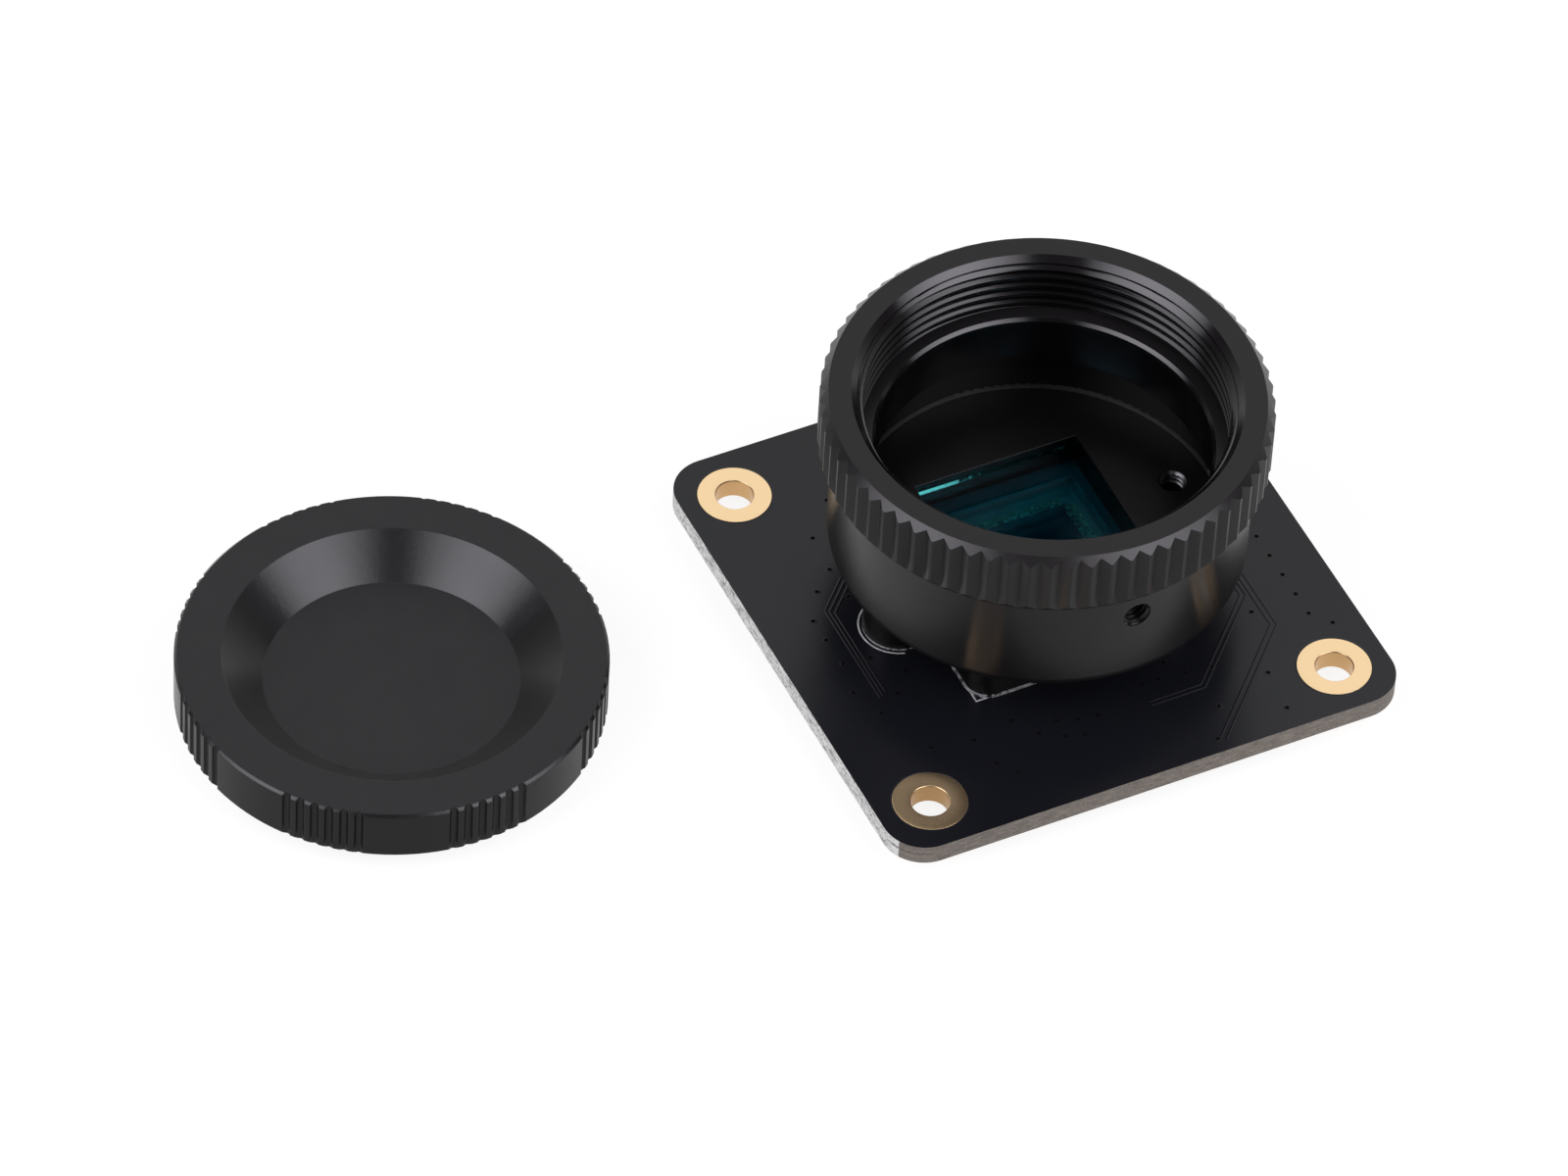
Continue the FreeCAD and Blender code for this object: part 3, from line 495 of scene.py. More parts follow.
def housing_black_finish():
    """Turned and not blasted: a gloss that the grooves draw out into upright streaks."""
    material, tree = new_tree("housing_black")
    spot = place_of(tree)
    lines = noise(tree, lathe_place(tree, spot, *LATHE_FINE), 1.0, 3.0, 0.6)
    stains = noise(tree, spot, 260.0, 3.0, 0.55)
    scuffs = noise(tree, lathe_place(tree, spot, *LATHE_SCUFFS), 1.0, 2.0, 0.5)
    normal = bumped(tree, lines, 0.5e-6, eased_edges(tree, 0.012 * MM))
    x, y, z = parts_of(tree, spot)
    radius = radius_of(tree, x, y)
    up = upward_lean(tree)
    inside = maths(tree, "LESS_THAN", radius, BORE_REACH)
    dyed = mix_colour(tree, inside, HOUSING_OUTER_BLACK, HOUSING_INNER_BLACK)
    shaded = blend(tree, 0.4, stains, scuffs)
    colour = mix_colour(tree, spread(tree, shaded, 0.4, 0.6, 0.80, 1.0), SCUFF_BLACK, dyed)
    # Painted shade: the walls of the window get the darkest colour.
    window = times(tree, maths(tree, "LESS_THAN", radius, WINDOW_REACH),
                   maths(tree, "LESS_THAN", maths(tree, "ABSOLUTE", up), 0.9))
    colour = mix_colour(tree, window, colour, WINDOW_SHADE_BLACK)
    # Pale patches at the foot's lower edge: partly bare metal, partly a painted highlight.
    rubbed_and_glint = spread(tree, noise(tree, spot, 2600.0, 3.0, 0.7), 0.42, 0.52)
    worn_and_glint = times(tree, maths(tree, "LESS_THAN", z, WORN_GLINT_BELOW), rubbed_and_glint)
    bevelled = times(tree, inside, between(tree, up, 0.2, 0.95))
    rough = blend(tree, bevelled, spread(tree, shaded, 0.35, 0.65, 0.21, 0.25), 0.55)
    cover(tree, skin(tree, {
        "Base Color": mix_colour(tree, worn_and_glint, colour, WORN_GLINT_PALE), "Roughness": rough, "Normal": normal,
        "IOR": HOUSING_INDEX, "Anisotropic": 0.8, "Tangent": across_grooves(tree, spot)}))
    return material


housing_finish = housing_black_finish()
print("housing finish:", housing_finish.name)

# %% [markdown]
# The board is a sandwich of glass cloth and resin under a black solder mask. One CAD solid holds
# both, so its finish asks which way a face looks: faces that look up or down are mask, and the
# sawn and routed edge shows the raw sandwich, grey-beige with the cut ends of the cloth in it.

# %% The board's finish
MASK_BLACK = (0.0072, 0.0078, 0.0105, 1.0)
MASK_INDEX = 1.39
EDGE_PALE = (0.235, 0.205, 0.175, 1.0)
EDGE_DARK = (0.07, 0.058, 0.048, 1.0)
SAWN_PALE = (0.66, 0.66, 0.645, 1.0)
SAWN_DARK = (0.10, 0.09, 0.085, 1.0)
SAWN_BELOW = float(BOARD_LOW[0] + 0.4 * MM)


def solder_mask_shader(tree, spot):
    """The mask itself: a thin glossy lacquer with a faint orange peel."""
    normal = bumped(tree, noise(tree, spot, 900.0, 2.0, 0.5), 3.0e-6)
    normal = bumped(tree, noise(tree, spot, 9000.0, 2.0, 0.6), 0.35e-6, normal)
    rough = spread(tree, noise(tree, spot, 120.0, 2.0, 0.5), 0.35, 0.65, 0.22, 0.29)
    return skin(tree, {
        "Base Color": MASK_BLACK, "Roughness": rough, "Normal": normal, "IOR": MASK_INDEX})


def board_finish():
    """Mask on the broad faces, cloth and resin on the edge, torn and pale on the sawn side."""
    material, tree = new_tree("board_black")
    spot = place_of(tree)
    mask = solder_mask_shader(tree, spot)
    x, y, z = parts_of(tree, spot)
    layers = add_node(tree, "ShaderNodeCombineXYZ", {
        0: times(tree, maths(tree, "ADD", x, y), 900.0), 1: times(tree, z, 6500.0)})
    ends = noise(tree, layers.outputs[0], 1.0, 4.0, 0.65)
    cloth = blend(tree, 0.4, ends, noise(tree, spot, 5200.0, 3.0, 0.7))
    fibre = mix_colour(tree, spread(tree, cloth, 0.33, 0.67), EDGE_DARK, EDGE_PALE)
    torn = mix_colour(tree, spread(tree, cloth, 0.40, 0.52), SAWN_DARK, SAWN_PALE)
    sawn = maths(tree, "LESS_THAN", x, SAWN_BELOW)
    raw = skin(tree, {
        "Base Color": mix_colour(tree, sawn, fibre, torn), "Roughness": 0.62,
        "Normal": bumped(tree, cloth, 30.0e-6)})
    upright = maths(tree, "LESS_THAN", maths(tree, "ABSOLUTE", upward_lean(tree, "Normal")), 0.5)
    cover(tree, add_node(tree, "ShaderNodeMixShader", {0: upright, 1: mask.outputs[0], 2: raw.outputs[0]}))
    return material


def mask_finish():
    """The same lacquer for the raised lines and rims that belong to the mask."""
    material, tree = new_tree("mask_black")
    cover(tree, solder_mask_shader(tree, place_of(tree)))
    return material


board_black = board_finish()
mask_black = mask_finish()
print("board finishes:", board_black.name, mask_black.name)

# %% [markdown]
# The rest of the finishes are simpler: one shader with a noise in its roughness and a second one
# in its relief. A short function makes them, and each call says what the maker would say: the
# colour, how polished it is, how coarse its grain is, and whether it is bare metal.

# %% Plain finishes
def darker(colour, share):
    """A colour times a share, and opaque."""
    return tuple(c * share for c in colour[:3]) + (1.0,)


def plain_finish(name, colour, rough_low, rough_high, metal=0.0, index=1.5, grain=4000.0,
                 relief=1.0e-6, shade=0.8, edge=0.0, upright=None):
    """One Principled shader with mottled colour and roughness, grain and optional eased edges.

    upright is a darker colour for faces that stand on end, a painted shade, made for the walls of the plated
    holes."""
    material, tree = new_tree(name)
    spot = place_of(tree)
    mottle = noise(tree, spot, grain * 0.12, 3.0, 0.55)
    fine = noise(tree, spot, grain, 2.0, 0.6)
    normal = eased_edges(tree, edge) if edge else None
    normal = bumped(tree, fine, relief, normal)
    tint = mix_colour(tree, spread(tree, mottle, 0.35, 0.65), darker(colour, shade), colour)
    if upright:
        # A painted shade: faces that stand on end take the darker upright colour.
        upright_shade = spread(tree, maths(tree, "ABSOLUTE", upward_lean(tree)), 0.3, 0.6, 1.0, 0.0)
        tint = mix_colour(tree, upright_shade, tint, upright)
    rough = spread(tree, mottle, 0.3, 0.7, rough_low, rough_high)
    cover(tree, skin(tree, {
        "Base Color": tint, "Roughness": rough, "Normal": normal, "IOR": index, "Metallic": metal}))
    return material


# The darker colour of the gold's upright faces is a painted shade for the walls of the plated holes.
gold = plain_finish("pad_gold", (0.955, 0.70, 0.405, 1.0), 0.21, 0.23, metal=0.94, grain=9000.0,
                    relief=0.4e-6, shade=0.99, upright=(0.60, 0.37, 0.17, 1.0))
print_white = plain_finish("print_white", (0.62, 0.63, 0.64, 1.0), 0.45, 0.6, grain=12000.0,
                           relief=2.0e-6, shade=0.6)
ceramic = plain_finish("ceramic_grey", (0.17, 0.165, 0.16, 1.0), 0.35, 0.5, relief=1.5e-6)
seal_black = plain_finish("seal_black", (0.075, 0.075, 0.080, 1.0), 0.4, 0.5, relief=2.0e-6)
steel = plain_finish("screw_steel", (0.050, 0.048, 0.047, 1.0), 0.28, 0.4, metal=1.0, edge=0.06 * MM)
socket_ivory = plain_finish("socket_ivory", (0.58, 0.52, 0.40, 1.0), 0.38, 0.5, edge=0.05 * MM)
latch_black = plain_finish("latch_black", (0.020, 0.020, 0.021, 1.0), 0.35, 0.5, edge=0.05 * MM)
tin = plain_finish("tin", (0.68, 0.67, 0.65, 1.0), 0.22, 0.36, metal=1.0, relief=2.5e-6)
epoxy = plain_finish("chip_epoxy", (0.022, 0.022, 0.023, 1.0), 0.5, 0.62, grain=7000.0,
                     relief=3.0e-6, edge=0.05 * MM)
can_metal = plain_finish("can_metal", (0.72, 0.68, 0.58, 1.0), 0.24, 0.34, metal=1.0, edge=0.08 * MM)
print("plain finishes:", len(bpy.data.materials))

# %% [markdown]
# The cap is a moulding. Its mould was rough where fingers go and polished in the cone of the dish,
# which is why two clear softbox reflections appear there and nowhere else. The slope of the face
# tells the two apart: the cone is the only broad face that leans.

# %% The cap's finish
CAP_INDEX = 1.38
CAP_TOP_BLACK = (0.0120, 0.0112, 0.0125, 1.0)
# The sides' darker colour is a painted shade.
CAP_SIDE_SHADE_BLACK = (0.0022, 0.0021, 0.0024, 1.0)
CONE_UP = 0.77


def cap_finish():
    """Textured on level faces, smoother on the sides, polished in the cone; the sides are coloured darker, a
    painted shade.
    """
    material, tree = new_tree("cap_black")
    spot = place_of(tree, CAP_CENTRE)
    up = upward_lean(tree)
    lean = maths(tree, "ABSOLUTE", maths(tree, "SUBTRACT", up, CONE_UP))
    polished = spread(tree, lean, 0.08, 0.14, 1.0, 0.0)
    level = spread(tree, up, 0.62, 0.95)
    normal = bumped(tree, noise(tree, spot, 2200.0, 3.0, 0.6), 7.0e-6, eased_edges(tree, 0.12 * MM))
    normal = bumped(tree, noise(tree, spot, 9500.0, 2.0, 0.7), 3.5e-6, normal)
    mottle = noise(tree, spot, 420.0, 3.0, 0.6)
    rough = blend(tree, level, spread(tree, mottle, 0.3, 0.7, 0.26, 0.33),
                  spread(tree, mottle, 0.3, 0.7, 0.42, 0.50))
    # Level faces get the greyer colour and the sides a darker one, a painted shade.
    cover(tree, skin(tree, {
        "Base Color": mix_colour(tree, level, CAP_SIDE_SHADE_BLACK, CAP_TOP_BLACK), "Roughness": rough,
        "Normal": normal, "IOR": CAP_INDEX, "Coat Weight": times(tree, polished, 0.5),
        "Coat Roughness": 0.17, "Coat IOR": 1.6, "Coat Normal": normal}))
    return material


cap_black = cap_finish()
print("cap finish:", cap_black.name)

# %% [markdown]
# Glass needs one trick. Light that bends through a pane reaches the sensor only by lucky paths, so
# rays from the lamps pass straight through a tinted clear shader instead. Everything the eye sees
# is still real glass with its reflections.

# %% Glass finishes
def glass_finish(name, tint, index=1.5):
    """Clear tinted glass that lets the lamps' rays pass straight through."""
    material, tree = new_tree(name)
    glass = skin(tree, {
        "Base Color": tint, "Roughness": 0.0, "IOR": index, "Transmission Weight": 1.0})
    clear = add_node(tree, "ShaderNodeBsdfTransparent", {"Color": tint})
    to_lamp = add_node(tree, "ShaderNodeLightPath").outputs["Is Shadow Ray"]
    cover(tree, add_node(tree, "ShaderNodeMixShader", {0: to_lamp, 1: glass.outputs[0], 2: clear.outputs[0]}))
    return material


filter_teal = glass_finish("filter_teal", (0.20, 0.74, 0.84, 1.0), 1.30)
cover_clear = glass_finish("cover_clear", (0.96, 0.98, 0.98, 1.0), 1.5)
print("glass finishes:", filter_teal.name, cover_clear.name)

# %% [markdown]
# The sensor die is a mirror-smooth chip. Its middle is the picture area, a fine grid that bends
# light into faint colours; round it runs a strip of wiring. Small capacitors and resistors carry
# tinned ends. The strip and the ends are painted by their position on the piece.

# %% The die's finish
DIE_LOW, DIE_HIGH = box_of("sensor_die")
DIE_STRIP = 0.32 * MM
WIRING_DARK, WIRING_PALE = (0.14, 0.15, 0.15, 1.0), (0.80, 0.82, 0.76, 1.0)
PICTURE_BLUE, PICTURE_VIOLET = (0.016, 0.030, 0.040, 1.0), (0.030, 0.022, 0.034, 1.0)


def die_finish():
    """The picture area in the middle and a strip of bright wiring round it."""
    material, tree = new_tree("die_silicon")
    spot = place_of(tree, (DIE_LOW + DIE_HIGH) / 2)
    half = (DIE_HIGH - DIE_LOW) / 2 - DIE_STRIP
    inside = [maths(tree, "LESS_THAN", maths(tree, "ABSOLUTE", way), float(reach))
              for way, reach in zip(parts_of(tree, spot), half[:2])]
    picture = times(tree, *inside)
    wiring = spread(tree, noise(tree, spot, 3000.0, 3.0, 0.8), 0.4, 0.6)
    strip = mix_colour(tree, wiring, WIRING_DARK, WIRING_PALE)
    sheen = mix_colour(tree, noise(tree, spot, 140.0, 1.0, 0.4), PICTURE_BLUE, PICTURE_VIOLET)
    metal = maths(tree, "SUBTRACT", 1.0, times(tree, picture, 0.6))
    cover(tree, skin(tree, {
        "Base Color": mix_colour(tree, picture, strip, sheen),
        "Roughness": blend(tree, picture, 0.3, 0.12), "Metallic": metal, "IOR": 2.2}))
    return material


die_silicon = die_finish()
print("die finish:", die_silicon.name)

# %% Finishes of the small parts with tinned ends
END_TIN = (0.66, 0.65, 0.62, 1.0)


def tipped_finish(name, body_colour, axis, centres, body_half):
    """A body colour in the middle and tin where a part lies further than body_half from its centre.

    The distance is taken along one axis to the nearest centre of the list."""
    material, tree = new_tree(name)
    spot = place_of(tree)
    along = parts_of(tree, spot)[axis]
    nearest = None
    for centre in centres:
        away = maths(tree, "ABSOLUTE", maths(tree, "SUBTRACT", along, float(centre)))
        nearest = away if nearest is None else maths(tree, "MINIMUM", nearest, away)
    end = maths(tree, "GREATER_THAN", nearest, float(body_half))
    grain = noise(tree, spot, 5000.0, 2.0, 0.6)
    body = mix_colour(tree, spread(tree, grain, 0.35, 0.65), darker(body_colour, 0.8), body_colour)
    cover(tree, skin(tree, {
        "Base Color": mix_colour(tree, end, body, END_TIN), "Roughness": blend(tree, end, 0.5, 0.3),
        "Metallic": end, "Normal": bumped(tree, grain, 3.0e-6, eased_edges(tree, 0.04 * MM))}))
    return material


def points_of(mesh):
    """A mesh's vertices as an array of one row each."""
    co = np.zeros(len(mesh.vertices) * 3)
    mesh.vertices.foreach_get("co", co)
    return co.reshape(-1, 3)


def solids_of(node):
    """Low and high corners of each separate solid of a node whose solids are plain blocks."""
    blocks = points_of(nodes[node].data).reshape(-1, 24, 3)
    return blocks.min(1), blocks.max(1)


small_low, small_high = solids_of("small_capacitors")
large_low, large_high = solids_of("large_capacitors")
film_low, film_high = solids_of("small_resistors")
small_rows = np.unique(np.round((small_low + small_high)[:, 1] / 2, 6))
film_rows = np.unique(np.round((film_low + film_high)[:, 1] / 2, 6))
large_rows = np.unique(np.round((large_low + large_high)[:, 0] / 2, 6))
capacitor_tan = tipped_finish("capacitor_tan", (0.30, 0.20, 0.12, 1.0), 1, small_rows, 0.27 * MM)
resistor_black = tipped_finish("resistor_black", (0.02, 0.02, 0.022, 1.0), 1, film_rows, 0.3 * MM)
capacitor_brown = tipped_finish("capacitor_brown", (0.27, 0.18, 0.11, 1.0), 0, large_rows, 0.48 * MM)
print("rows in mm:", small_rows / MM, film_rows / MM, large_rows / MM)

# %% [markdown]
# Now each CAD node gets its finish. Only the material in its slots changes, and the slots that the
# record names stay as they are.

# %% Dress the CAD nodes
FINISH_OF = {
    "circuit_board": board_black, "mounting_eyelets": gold, "sensor_package": ceramic,
    "sensor_die": die_silicon, "cover_glass": cover_clear, "dust_seal": seal_black,
    "filter_glass": filter_teal, "mount_housing": housing_finish, "lens_ring": ring_finish,
    "housing_screws": steel, "ribbon_socket": socket_ivory, "ribbon_latch": latch_black,
    "ribbon_contacts": tin, "socket_tabs": tin, "voltage_regulators": epoxy,
    "regulator_leads": tin, "clock_oscillator": can_metal, "memory_chip": epoxy,
    "small_capacitors": capacitor_tan, "large_capacitors": capacitor_brown,
    "small_resistors": resistor_black, "dust_cap": cap_black,
}
for node, finish in FINISH_OF.items():
    for holder in nodes[node].material_slots:
        holder.material = finish
print("dressed", len(FINISH_OF), "of", len(nodes), "nodes")

# %% [markdown]
# New pieces are grids of points worked out with numpy. A grid of rows and columns becomes faces by
# index arithmetic alone: each face joins a point to its right, upper right and upper neighbours,
# and a grid that closes on itself wraps its last row or column to the first.

# %% Mesh helpers
WELD = 1e-7


def grid_faces(rows, columns, close_rows=False, close_columns=False):
    """Four-point faces of a grid of points numbered row by row."""
    r = np.arange(rows if close_rows else rows - 1)
    c = np.arange(columns if close_columns else columns - 1)
    r, c = np.meshgrid(r, c, indexing="ij")
    up, right = (r + 1) % rows, (c + 1) % columns
    corners = (r * columns + c, r * columns + right, up * columns + right, up * columns + c)
    return np.stack([k.ravel() for k in corners], axis=1)


def tube_faces(rings, sides):
    """Faces of a tube of that many rings, with a cap at each end."""
    last = sides * (rings - 1)
    caps = [list(range(sides)), [last + k for k in reversed(range(sides))]]
    return grid_faces(rings, sides, close_columns=True).tolist() + caps


def weld(mesh):
    """Merge a mesh's doubles and turn its faces outward."""
    work = bmesh.new()
    work.from_mesh(mesh)
    bmesh.ops.remove_doubles(work, verts=work.verts, dist=WELD)
    bmesh.ops.recalc_face_normals(work, faces=work.faces)
    work.to_mesh(mesh)
    work.free()


def place_piece(mesh, sharp):
    """Shade a mesh smooth up to an angle in degrees and add it to the object."""
    mesh.polygons.foreach_set("use_smooth", np.ones(len(mesh.polygons), bool))
    mesh.set_sharp_from_angle(angle=math.radians(sharp))
    piece = add_object(mesh.name, mesh)
    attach(piece, "root")
    print(mesh.name, len(mesh.polygons), "faces")
    return piece


def add_piece(name, parts, finish, sharp=35.0):
    """One mesh object from a list of (points, faces)."""
    mesh = bpy.data.meshes.new(name)
    points, faces, start = [], [], 0
    for part_points, part_faces in parts:
        part_points = np.asarray(part_points, float).reshape(-1, 3)
        points.append(part_points)
        faces.extend((np.asarray(f) + start).tolist() for f in part_faces)
        start += len(part_points)
    mesh.from_pydata(np.concatenate(points).tolist(), [], faces)
    weld(mesh)
    mesh.materials.append(finish)
    return place_piece(mesh, sharp)


print("pieces can be placed")

# %% [markdown]
# Two forms come back again and again: a profile turned round an upright axis, and a flat-topped
# bead that follows a path, as a trace or a printed line does.

# %% Turned profiles and raised lines
def turned(profile, centres, segments):
    """A closed profile of (radius, height) turned round an upright axis at each centre.

    A point is centre + (radius cos a, radius sin a, height)."""
    profile = np.asarray(profile, float)
    angle = np.linspace(0, 2 * np.pi, segments, endpoint=False)
    ring = np.stack([np.cos(angle), np.sin(angle), np.zeros(segments)], axis=1)
    shape = profile[:, None, 0:1] * ring[None] + profile[:, None, 1:2] * np.array([0, 0, 1.0])
    faces = grid_faces(len(profile), segments, close_rows=True, close_columns=True)
    return [(shape + np.asarray(centre, float), faces) for centre in centres]


def raised_line(path, width, height, base, closed=False, shoulder=0.28):
    """A flat-topped bead along a path in the plane.

    Each corner's offset is the sum of its two edge normals divided by one plus their product,
    which keeps the bead's width on both sides of the corner."""
    path = np.asarray(path, float)
    ahead = np.roll(path, -1, 0) - path
    behind = path - np.roll(path, 1, 0)
    if not closed:
        ahead[-1], behind[0] = behind[-1], ahead[0]
    ahead /= np.linalg.norm(ahead, axis=1)[:, None]
    behind /= np.linalg.norm(behind, axis=1)[:, None]
    left_a = np.stack([-ahead[:, 1], ahead[:, 0]], axis=1)
    left_b = np.stack([-behind[:, 1], behind[:, 0]], axis=1)
    mitre = (left_a + left_b) / (1 + (left_a * left_b).sum(1))[:, None]
    across = np.array([-0.5, -0.5 + shoulder, 0.5 - shoulder, 0.5]) * width
    rise = base + np.array([0.0, 1.0, 1.0, 0.0]) * height
    flat = path[:, None, :] + mitre[:, None, :] * across[None, :, None]
    points = np.concatenate([flat, np.broadcast_to(rise[None, :, None], flat.shape[:2] + (1,))], axis=2)
    if closed:
        return points.reshape(-1, 3), grid_faces(len(path), 4, close_rows=True, close_columns=True)
    return points.reshape(-1, 3), tube_faces(len(path), 4)


print("forms ready")

# %% [markdown]
# The mounting holes are plated: copper and gold run down the wall and spread into a ring on each
# face. The plating wraps every edge with a soft radius, and that radius is what catches the light,
# so the CAD eyelets are replaced by turned pieces with rounded edges, and the solder mask ends in
# a tiny raised lip round each ring.

# %% Plated mounting holes
HOLE_RADIUS = mount_size("board_holes", "hole_r_mm")
HOLE_SPACING = mount_size("board_holes", "spacing_x_mm")
PAD_RADIUS = box_of("mounting_eyelets")[1][0] - HOLE_SPACING / 2
hole_places = [(x, y, 0.0) for x in (-HOLE_SPACING / 2, HOLE_SPACING / 2)
               for y in (-HOLE_SPACING / 2, HOLE_SPACING / 2)]


def rounded_profile(corners, radii, steps=5):
    """A closed profile whose corners are replaced by arcs.

    Each arc starts and ends at its radius times the tangent of half the turn from the corner; its
    points are a blend of those two ends and the corner with the weights of a quadratic curve."""
    corners = np.asarray(corners, float)
    points = []
    for index, radius in enumerate(radii):
        here = corners[index]
        before = corners[index - 1] - here
        after = corners[(index + 1) % len(corners)] - here
        if radius == 0:
            points.append(here[None])
            continue
        start = here + before / np.linalg.norm(before) * radius
        end = here + after / np.linalg.norm(after) * radius
        t = np.linspace(0, 1, steps)[:, None]
        points.append((1 - t) ** 2 * start + 2 * t * (1 - t) * here + t ** 2 * end)
    return np.concatenate(points)


PLATING = 0.05 * MM
HOLE_EDGE = 0.09 * MM
PAD_EDGE = 0.04 * MM
outline = [
    (HOLE_RADIUS, 0), (PAD_RADIUS, 0), (PAD_RADIUS, PLATING), (HOLE_RADIUS + PLATING, PLATING),
    (HOLE_RADIUS + PLATING, BOARD_TOP - PLATING), (PAD_RADIUS, BOARD_TOP - PLATING),
    (PAD_RADIUS, BOARD_TOP), (HOLE_RADIUS, BOARD_TOP),
]
eyelet_profile = rounded_profile(outline, [HOLE_EDGE, PAD_EDGE, 0, 0, 0, 0, PAD_EDGE, HOLE_EDGE])
eyelets = add_piece("plated_holes", turned(eyelet_profile, hole_places, 96), gold, 50)
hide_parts("mounting_eyelets")

# %% The mask's lip round each ring
LIP_WIDTH = 0.09 * MM
LIP_HEIGHT = 0.018 * MM
lip = np.array([(0, -LIP_HEIGHT), (LIP_WIDTH, -LIP_HEIGHT), (LIP_WIDTH, 0), (LIP_WIDTH * 0.6, LIP_HEIGHT),
                (LIP_WIDTH * 0.25, LIP_HEIGHT), (0, 0)])
lips = []
for face, sign in ((BOARD_TOP, 1), (0.0, -1)):
    profile = lip * (1, sign) + (PAD_RADIUS - LIP_WIDTH * 0.1, face)
    lips += turned(profile, hole_places, 96)
add_piece("mask_lips", lips, mask_black)

# %% [markdown]
# The knurl was rolled with a straight knurling wheel, whose teeth leave grooves with flat flanks
# that meet in a line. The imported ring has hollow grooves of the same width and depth. The copy
# made here keeps its mesh, and only the ends of the grooves' edge lines move: each goes to the
# flat flank at its angle, and up or down the bevel it lies on.

# %% The knurled ring
KNURL_COUNT = 70
KNURL_DEPTH = 0.37 * MM
KNURL_CREST = 0.16 * MM
UPPER_SLOPE = -1.0
LOWER_SLOPE = 1.5


def flat_flanks(mesh):
    """Move the vertices on hollow grooves to straight flanks.

    Across a groove the radius is crest - depth (1 - |x| / half width), and the height changes by
    the bevel's slope times the change in radius."""
    co = points_of(mesh)
    radius = np.hypot(co[:, 0], co[:, 1])
    crest = radius.max()
    pitch = 2 * np.pi * crest / KNURL_COUNT
    turns = np.arctan2(co[:, 1], co[:, 0]) / (2 * np.pi) * KNURL_COUNT
    across = np.abs(turns - np.round(turns)) * pitch
    half = (pitch - KNURL_CREST) / 2
    moved = (radius > crest - KNURL_DEPTH - 3e-6) & (radius < crest - 1e-6) & (across < half)
    flank = crest - KNURL_DEPTH * (1 - np.clip(across / half, 0, 1))
    upper = co[:, 2] > (HOUSING_HIGH[2] + RING_HIGH[2]) / 2
    slope = np.where(upper, UPPER_SLOPE, LOWER_SLOPE)
    co[:, 2] += np.where(moved, (flank - radius) * slope, 0.0)
    co[:, :2] *= np.where(moved, flank / radius, 1.0)[:, None]
    mesh.vertices.foreach_set("co", co.ravel())
    print("groove vertices moved:", int(moved.sum()), "of", len(co))


ring_mesh = nodes["lens_ring"].data.copy()
ring_mesh.name = "knurled_ring"
weld(ring_mesh)
if "custom_normal" in ring_mesh.attributes:
    ring_mesh.attributes.remove(ring_mesh.attributes["custom_normal"])
flat_flanks(ring_mesh)
knurled_ring = place_piece(ring_mesh, 25)
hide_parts("lens_ring")

# %% [markdown]
# A screw thread is a groove with a 60 degree profile wound round a bore. The CAD bores have the
# thread's outer diameter, so only the ridges are missing. Each column of the grid samples the
# ridge where the helix has reached that angle, so the rows climb one pitch in one turn and meet
# themselves at the seam. Below the mouth the first ridges are cut back at 45 degrees.

# %% Threads in bores
THREAD_SHARE = 0.5413
SKIN = 0.012 * MM


def thread_radius(turns, major, minor):
    """Radius of an inner thread's surface where the climb is that many pitches.

    It is the outer radius in the groove, an eighth of the pitch wide, and the inner radius on the
    ridge, a quarter wide, with straight flanks between."""
    away = np.abs(turns - np.round(turns))
    share = np.clip((away - 1 / 16) / (3 / 8 - 1 / 16), 0, 1)
    return major + (minor - major) * share


def bore_thread(major, minor, pitch, low, high, land, rows=14, segments=256, wall=0.02 * MM):
    """A closed shell of thread ridges between two heights, round the origin's vertical axis.

    Below a plain land of that height the ridges are cut back at 45 degrees, to the radius
    major - (high - land - height)."""
    angle = np.linspace(0, 2 * np.pi, segments + 1)
    steps = int(math.ceil((high - low) / pitch + 2)) * rows
    climb = np.arange(-rows, steps + 1)[:, None] / rows * pitch + low
    height = np.clip(climb + pitch * angle[None, :] / (2 * np.pi), low, high)
    radius = thread_radius((height - low) / pitch - angle[None, :] / (2 * np.pi), major, minor)
    radius = np.maximum(radius, major - np.maximum(high - land - height, 0))
    back = np.full((1, segments + 1), major + wall)
    radius = np.concatenate([back, radius, back])
    height = np.concatenate([np.full_like(back, low), height, np.full_like(back, high)])
    points = np.stack([radius * np.cos(angle), radius * np.sin(angle), height], axis=2)
    return points, grid_faces(len(points), segments + 1, close_rows=True)


print("a thread's ridge is", THREAD_SHARE, "of its pitch high")

# %% The lens thread
LENS_RADIUS = mount_size("lens_thread", "r_mm")
LENS_PITCH = 25.4 / 32 * MM
LENS_DEPTH = THREAD_SHARE * LENS_PITCH
LENS_LAND = 0.12 * MM
THREAD_LENGTH = mount_size("lens_thread", "length_mm")
thread_low = mount_of("lens_thread")["pos_m"][2] - THREAD_LENGTH / 2
thread_high = thread_low + THREAD_LENGTH
lens_thread = bore_thread(LENS_RADIUS - SKIN, LENS_RADIUS - LENS_DEPTH, LENS_PITCH, thread_low + SKIN,
                          thread_high - SKIN / 4, LENS_LAND)
add_piece("lens_thread", [lens_thread], ring_finish, 24)
print("lens thread from", round(thread_low / MM, 3), "to", round(thread_high / MM, 3), "mm")

# %% [markdown]
# The two holes in the housing's floor were tapped after the dyeing, so their threads are bare
# metal and glint. The hole for the lock screw in the wall was dyed with the rest.

